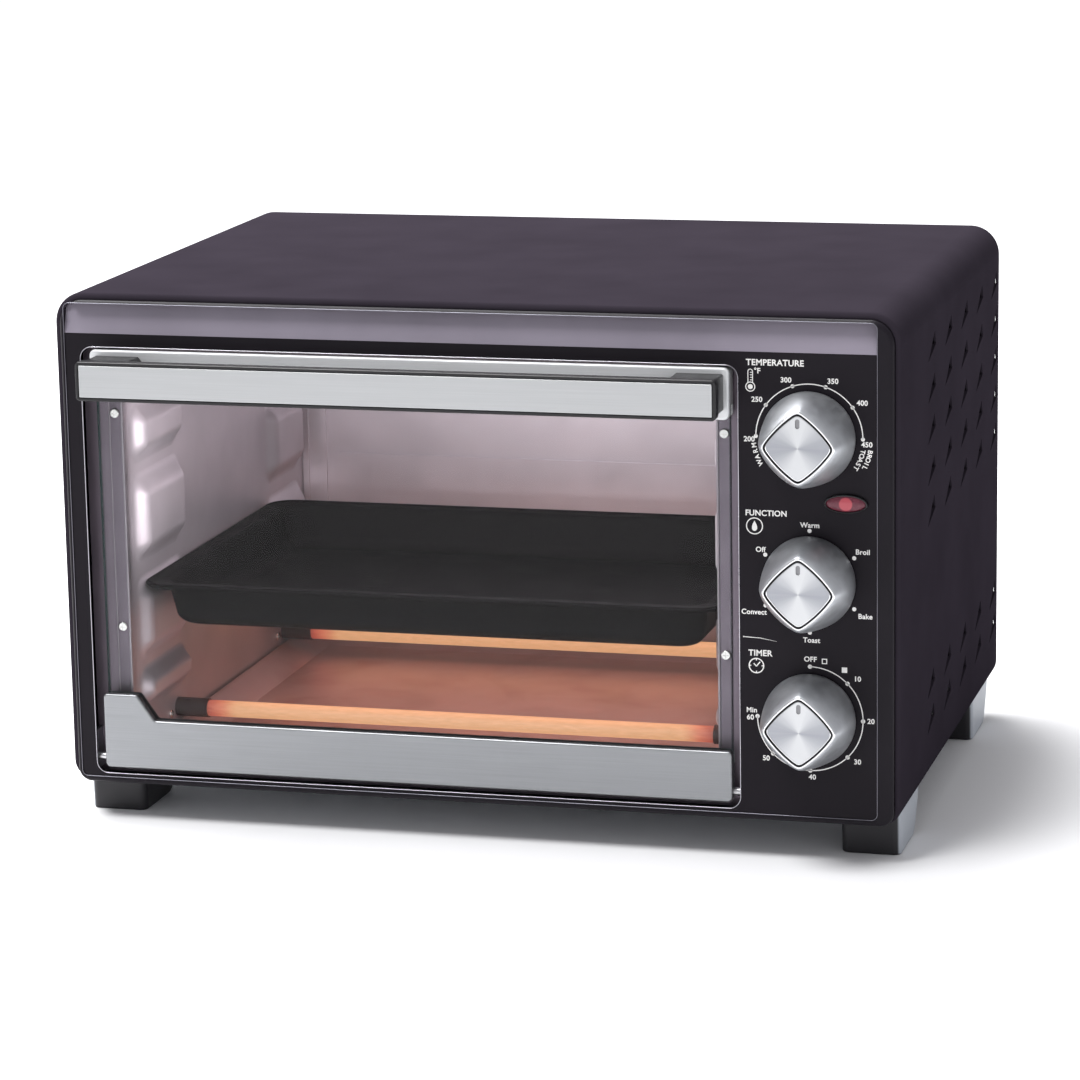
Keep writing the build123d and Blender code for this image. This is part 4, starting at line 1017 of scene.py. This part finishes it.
def around(x, z, radius, steps=40):
    return [(x + radius * math.cos(2 * math.pi * i / steps),
             z + radius * math.sin(2 * math.pi * i / steps)) for i in range(steps)]


def square(x, z, half):
    return [(x - half, z - half), (x + half, z - half), (x + half, z + half), (x - half, z + half)]


def polar(radius, degrees, x=0.0, z=0.0):
    """Point at an angle clockwise from the top."""
    angle = math.radians(degrees)
    return x + radius * math.sin(angle), z + radius * math.cos(angle)


SCALE_R = 25.5  # radius of the printed scales, mm
TITLE_H = 2.85
LABEL_H = 2.4


def temperature_legend():
    mark = Legend("temperature_legend", KNOB_CENTRE["temperature"])
    mark.words("TEMPERATURE", -16.2, 35.2, TITLE_H)
    mark.words("°F", -24.7, 31.2, 2.5)
    mark.arc(SCALE_R, -90, 90)
    places = ((-28.7, -1.4), (-24.9, 17.6), (-11.0, 27.2), (11.3, 27.2), (25.2, 17.3), (27.4, -2.4))
    for i, (x, z) in enumerate(places):
        mark.dot(*polar(SCALE_R, -90 + 36 * i), 0.95)
        mark.words(str(200 + 50 * i), x, z, LABEL_H)
    mark.curved("WARM", 26.8, -118.0, 6.2, 2.2)
    mark.curved("BROIL", 29.6, 101.5, 3.9, 2.2)
    mark.curved("TOAST", 26.2, 103.0, 4.7, 2.2)
    # thermometer
    x, z = -28.0, 23.5
    mark.ring(x, z, 2.4, 0.45)
    mark.dot(x, z, 1.2)
    for side in (-1, 1):
        mark.stroke(x + side * 1.1, z + 2.1, x + side * 1.1, z + 7.2, 0.4)
    mark.arc(1.1, -90, 90, 0.4, x, z + 7.2)
    for tick in range(4):
        mark.stroke(x - 0.1, z + 3.2 + 1.2 * tick, x + 1.0, z + 3.2 + 1.2 * tick, 0.35)
    mark.finish()


def function_legend():
    mark = Legend("function_legend", KNOB_CENTRE["function"])
    mark.words("FUNCTION", -20.8, 32.4, TITLE_H * 0.94)
    labels = (("Off", -23.6, 14.8), ("Warm", 0.2, 27.4), ("Broil", 25.4, 15.4),
              ("Bake", 26.6, -15.6), ("Toast", 0.8, -28.2), ("Convect", -26.9, -15.6))
    for i, (text, x, z) in enumerate(labels):
        mark.dot(*polar(24.6, -60 + 60 * i), 1.0)
        mark.words(text, x, z, LABEL_H)
    # drop in a circle
    x, z = -26.4, 26.0
    mark.ring(x, z, 4.1, 0.5)
    drop = []
    for i in range(32):
        angle = 2 * math.pi * i / 32
        up = math.cos(angle)
        width = 1.75 * math.sin(angle) * math.sin(math.acos(up) / 2) ** 1.2
        drop.append((x + width, z + 0.1 + 2.5 * up))
    mark.shape(drop)
    mark.finish()


def timer_legend():
    mark = Legend("timer_legend", KNOB_CENTRE["timer"])
    mark.words("TIMER", -24.0, 31.1, TITLE_H)
    mark.arc(SCALE_R, 0, 270)
    labels = (("OFF", 0.2, 29.2), ("10", 22.8, 20.6), ("20", 29.3, 0.2), ("30", 22.8, -20.0),
              ("40", 1.0, -28.6), ("50", -21.4, -20.4), ("60", -29.0, -0.6))
    for i, (text, x, z) in enumerate(labels):
        mark.dot(*polar(SCALE_R, 45 * i), 1.05)
        mark.words(text, x, z, LABEL_H)
    mark.words("Min", -28.3, 3.0, LABEL_H)
    for x, z, filled in ((7.0, 28.4, False), (16.6, 24.6, True)):
        half = 1.3
        mark.shape(square(x, z, half), None if filled else square(x, z, half - 0.45))
    # clock
    x, z = -25.9, 24.8
    mark.ring(x, z, 3.8, 0.55)
    for quarter in range(4):
        x0, z0 = polar(2.5, 90 * quarter, x, z)
        x1, z1 = polar(3.3, 90 * quarter, x, z)
        mark.stroke(x0, z0, x1, z1, 0.5)
    mark.stroke(x, z - 0.3, x - 1.3, z + 1.1, 0.55)
    mark.stroke(x - 0.1, z - 0.4, x + 1.8, z + 1.9, 0.55)
    mark.finish()


def divider():
    """Short hairline between the function and the timer scales, fading to the right."""
    mark = Legend("panel_divider", KNOB_CENTRE["timer"])
    mark.dot(-32.0, 38.7, 0.35)
    mark.stroke(-32.0, 38.7, -24.0, 38.4, 0.4, 0.28)
    mark.stroke(-24.0, 38.4, -16.0, 37.0, 0.28, 0.08)
    mark.finish()


# ---- stage --------------------------------------------------------------------------------
FLOOR_SIZE = 60.0


def floor():
    mesh = bpy.data.meshes.new("floor")
    half = FLOOR_SIZE / 2
    mesh.from_pydata([(-half, -half, 0), (half, -half, 0), (half, half, 0), (-half, half, 0)], [],
                     [(0, 1, 2, 3)])
    ground = in_scene("floor", mesh)
    s = Surface("floor_pale", (0.84, 0.84, 0.85), 0.8, Specular_IOR_Level=0.1)
    mesh.materials.append(s.material)


def aim(light, at, target):
    light.location = at
    light.rotation_euler = (Vector(target) - Vector(at)).to_track_quat("-Z", "Y").to_euler()


def area_light(name, size_x, size_y, power, at, target, color=(1, 1, 1), spread=180):
    data = bpy.data.lights.new(name, "AREA")
    data.shape = "RECTANGLE"
    data.size = size_x
    data.size_y = size_y
    data.energy = power
    data.color = color
    data.spread = math.radians(spread)
    light = in_scene(name, data)
    light.visible_camera = False
    aim(light, at, target)


def world():
    made = bpy.data.worlds.new("studio")
    bpy.context.scene.world = made
    made.use_nodes = True
    nodes, links = made.node_tree.nodes, made.node_tree.links
    back = nodes["Background"]
    back.inputs["Color"].default_value = (0.56, 0.56, 0.58, 1)
    shown = nodes.new("ShaderNodeBackground")
    shown.inputs["Color"].default_value = (1, 1, 1, 1)
    path = nodes.new("ShaderNodeLightPath")
    mix = nodes.new("ShaderNodeMixShader")
    links.new(path.outputs["Is Camera Ray"], mix.inputs[0])
    links.new(back.outputs[0], mix.inputs[1])
    links.new(shown.outputs[0], mix.inputs[2])
    links.new(mix.outputs[0], nodes["World Output"].inputs["Surface"])


def lights():
    world()
    sun = bpy.data.lights.new("key", "SUN")
    sun.energy = 2.5
    sun.angle = math.radians(24)
    aim(in_scene("key", sun), (-0.8, -0.8, 2.4), (0, 0, 0))
    area_light("top_softbox", 1.6, 1.2, 60, (-0.6, 0.6, 1.6), (0, 0.1, 0.25))
    # Soft light that comes in through the door, above and below the pan.
    low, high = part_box("cavity_top")
    pan_low, pan_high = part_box("baking_pan")
    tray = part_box("crumb_tray")[1]
    middle = (low + high) / 2
    width = (high.x - low.x) * 0.94
    mouth = low.y + 3 * MM
    for name, bottom, top, power in (("upper_mouth", pan_high.z, low.z, 0.48),
                                     ("lower_mouth", tray.z, pan_low.z, 0.055)):
        z = (bottom + top) / 2
        area_light(name, width, (top - bottom) * 0.9, power, (middle.x, mouth, z),
                   (middle.x, high.y, z), (1.0, 0.94, 0.97))
    area_light("heater_glow", width * 0.9, (high.y - low.y) * 0.7, 0.21,
               (middle.x, middle.y, pan_low.z - 3 * MM), (middle.x, middle.y, 0), (1.0, 0.45, 0.33),
               spread=110)


# Camera: seen from the front, right of the middle and a little above, through a long lens.
CAMERA_AT = (0.537, -1.9695, 0.569)
CAMERA_YAW = 15.3
CAMERA_PITCH = 12.36
CAMERA_ROLL = -1.03
LENS_MM = 135.5


def camera():
    data = bpy.data.cameras.new("camera")
    data.lens = LENS_MM
    data.sensor_width = 36.0
    data.clip_start = 0.05
    data.clip_end = 100
    made = in_scene("camera", data)
    yaw, pitch, roll = (math.radians(a) for a in (CAMERA_YAW, CAMERA_PITCH, CAMERA_ROLL))
    ahead = Vector((-math.sin(yaw) * math.cos(pitch), math.cos(yaw) * math.cos(pitch),
                    -math.sin(pitch)))
    right = Vector((math.cos(yaw), math.sin(yaw), 0))
    up = right.cross(ahead)
    across = right * math.cos(roll) + up * math.sin(roll)
    upright = up * math.cos(roll) - right * math.sin(roll)
    turn = Matrix((across, upright, -ahead)).transposed()
    made.matrix_world = Matrix.Translation(CAMERA_AT) @ turn.to_4x4()
    bpy.context.scene.camera = made


# ---- build --------------------------------------------------------------------------------
camera()
lights()
floor()
dress_cad()
for control in KNOBS:
    knob(control)
heater_coils()
baking_pan()
rack_supports("left", "cavity_left_wall", 1)
rack_supports("right", "cavity_right_wall", -1)
front_edges()
lamp_lens()
temperature_legend()
function_legend()
timer_legend()
divider()

bpy.context.scene.view_settings.view_transform = "Standard"
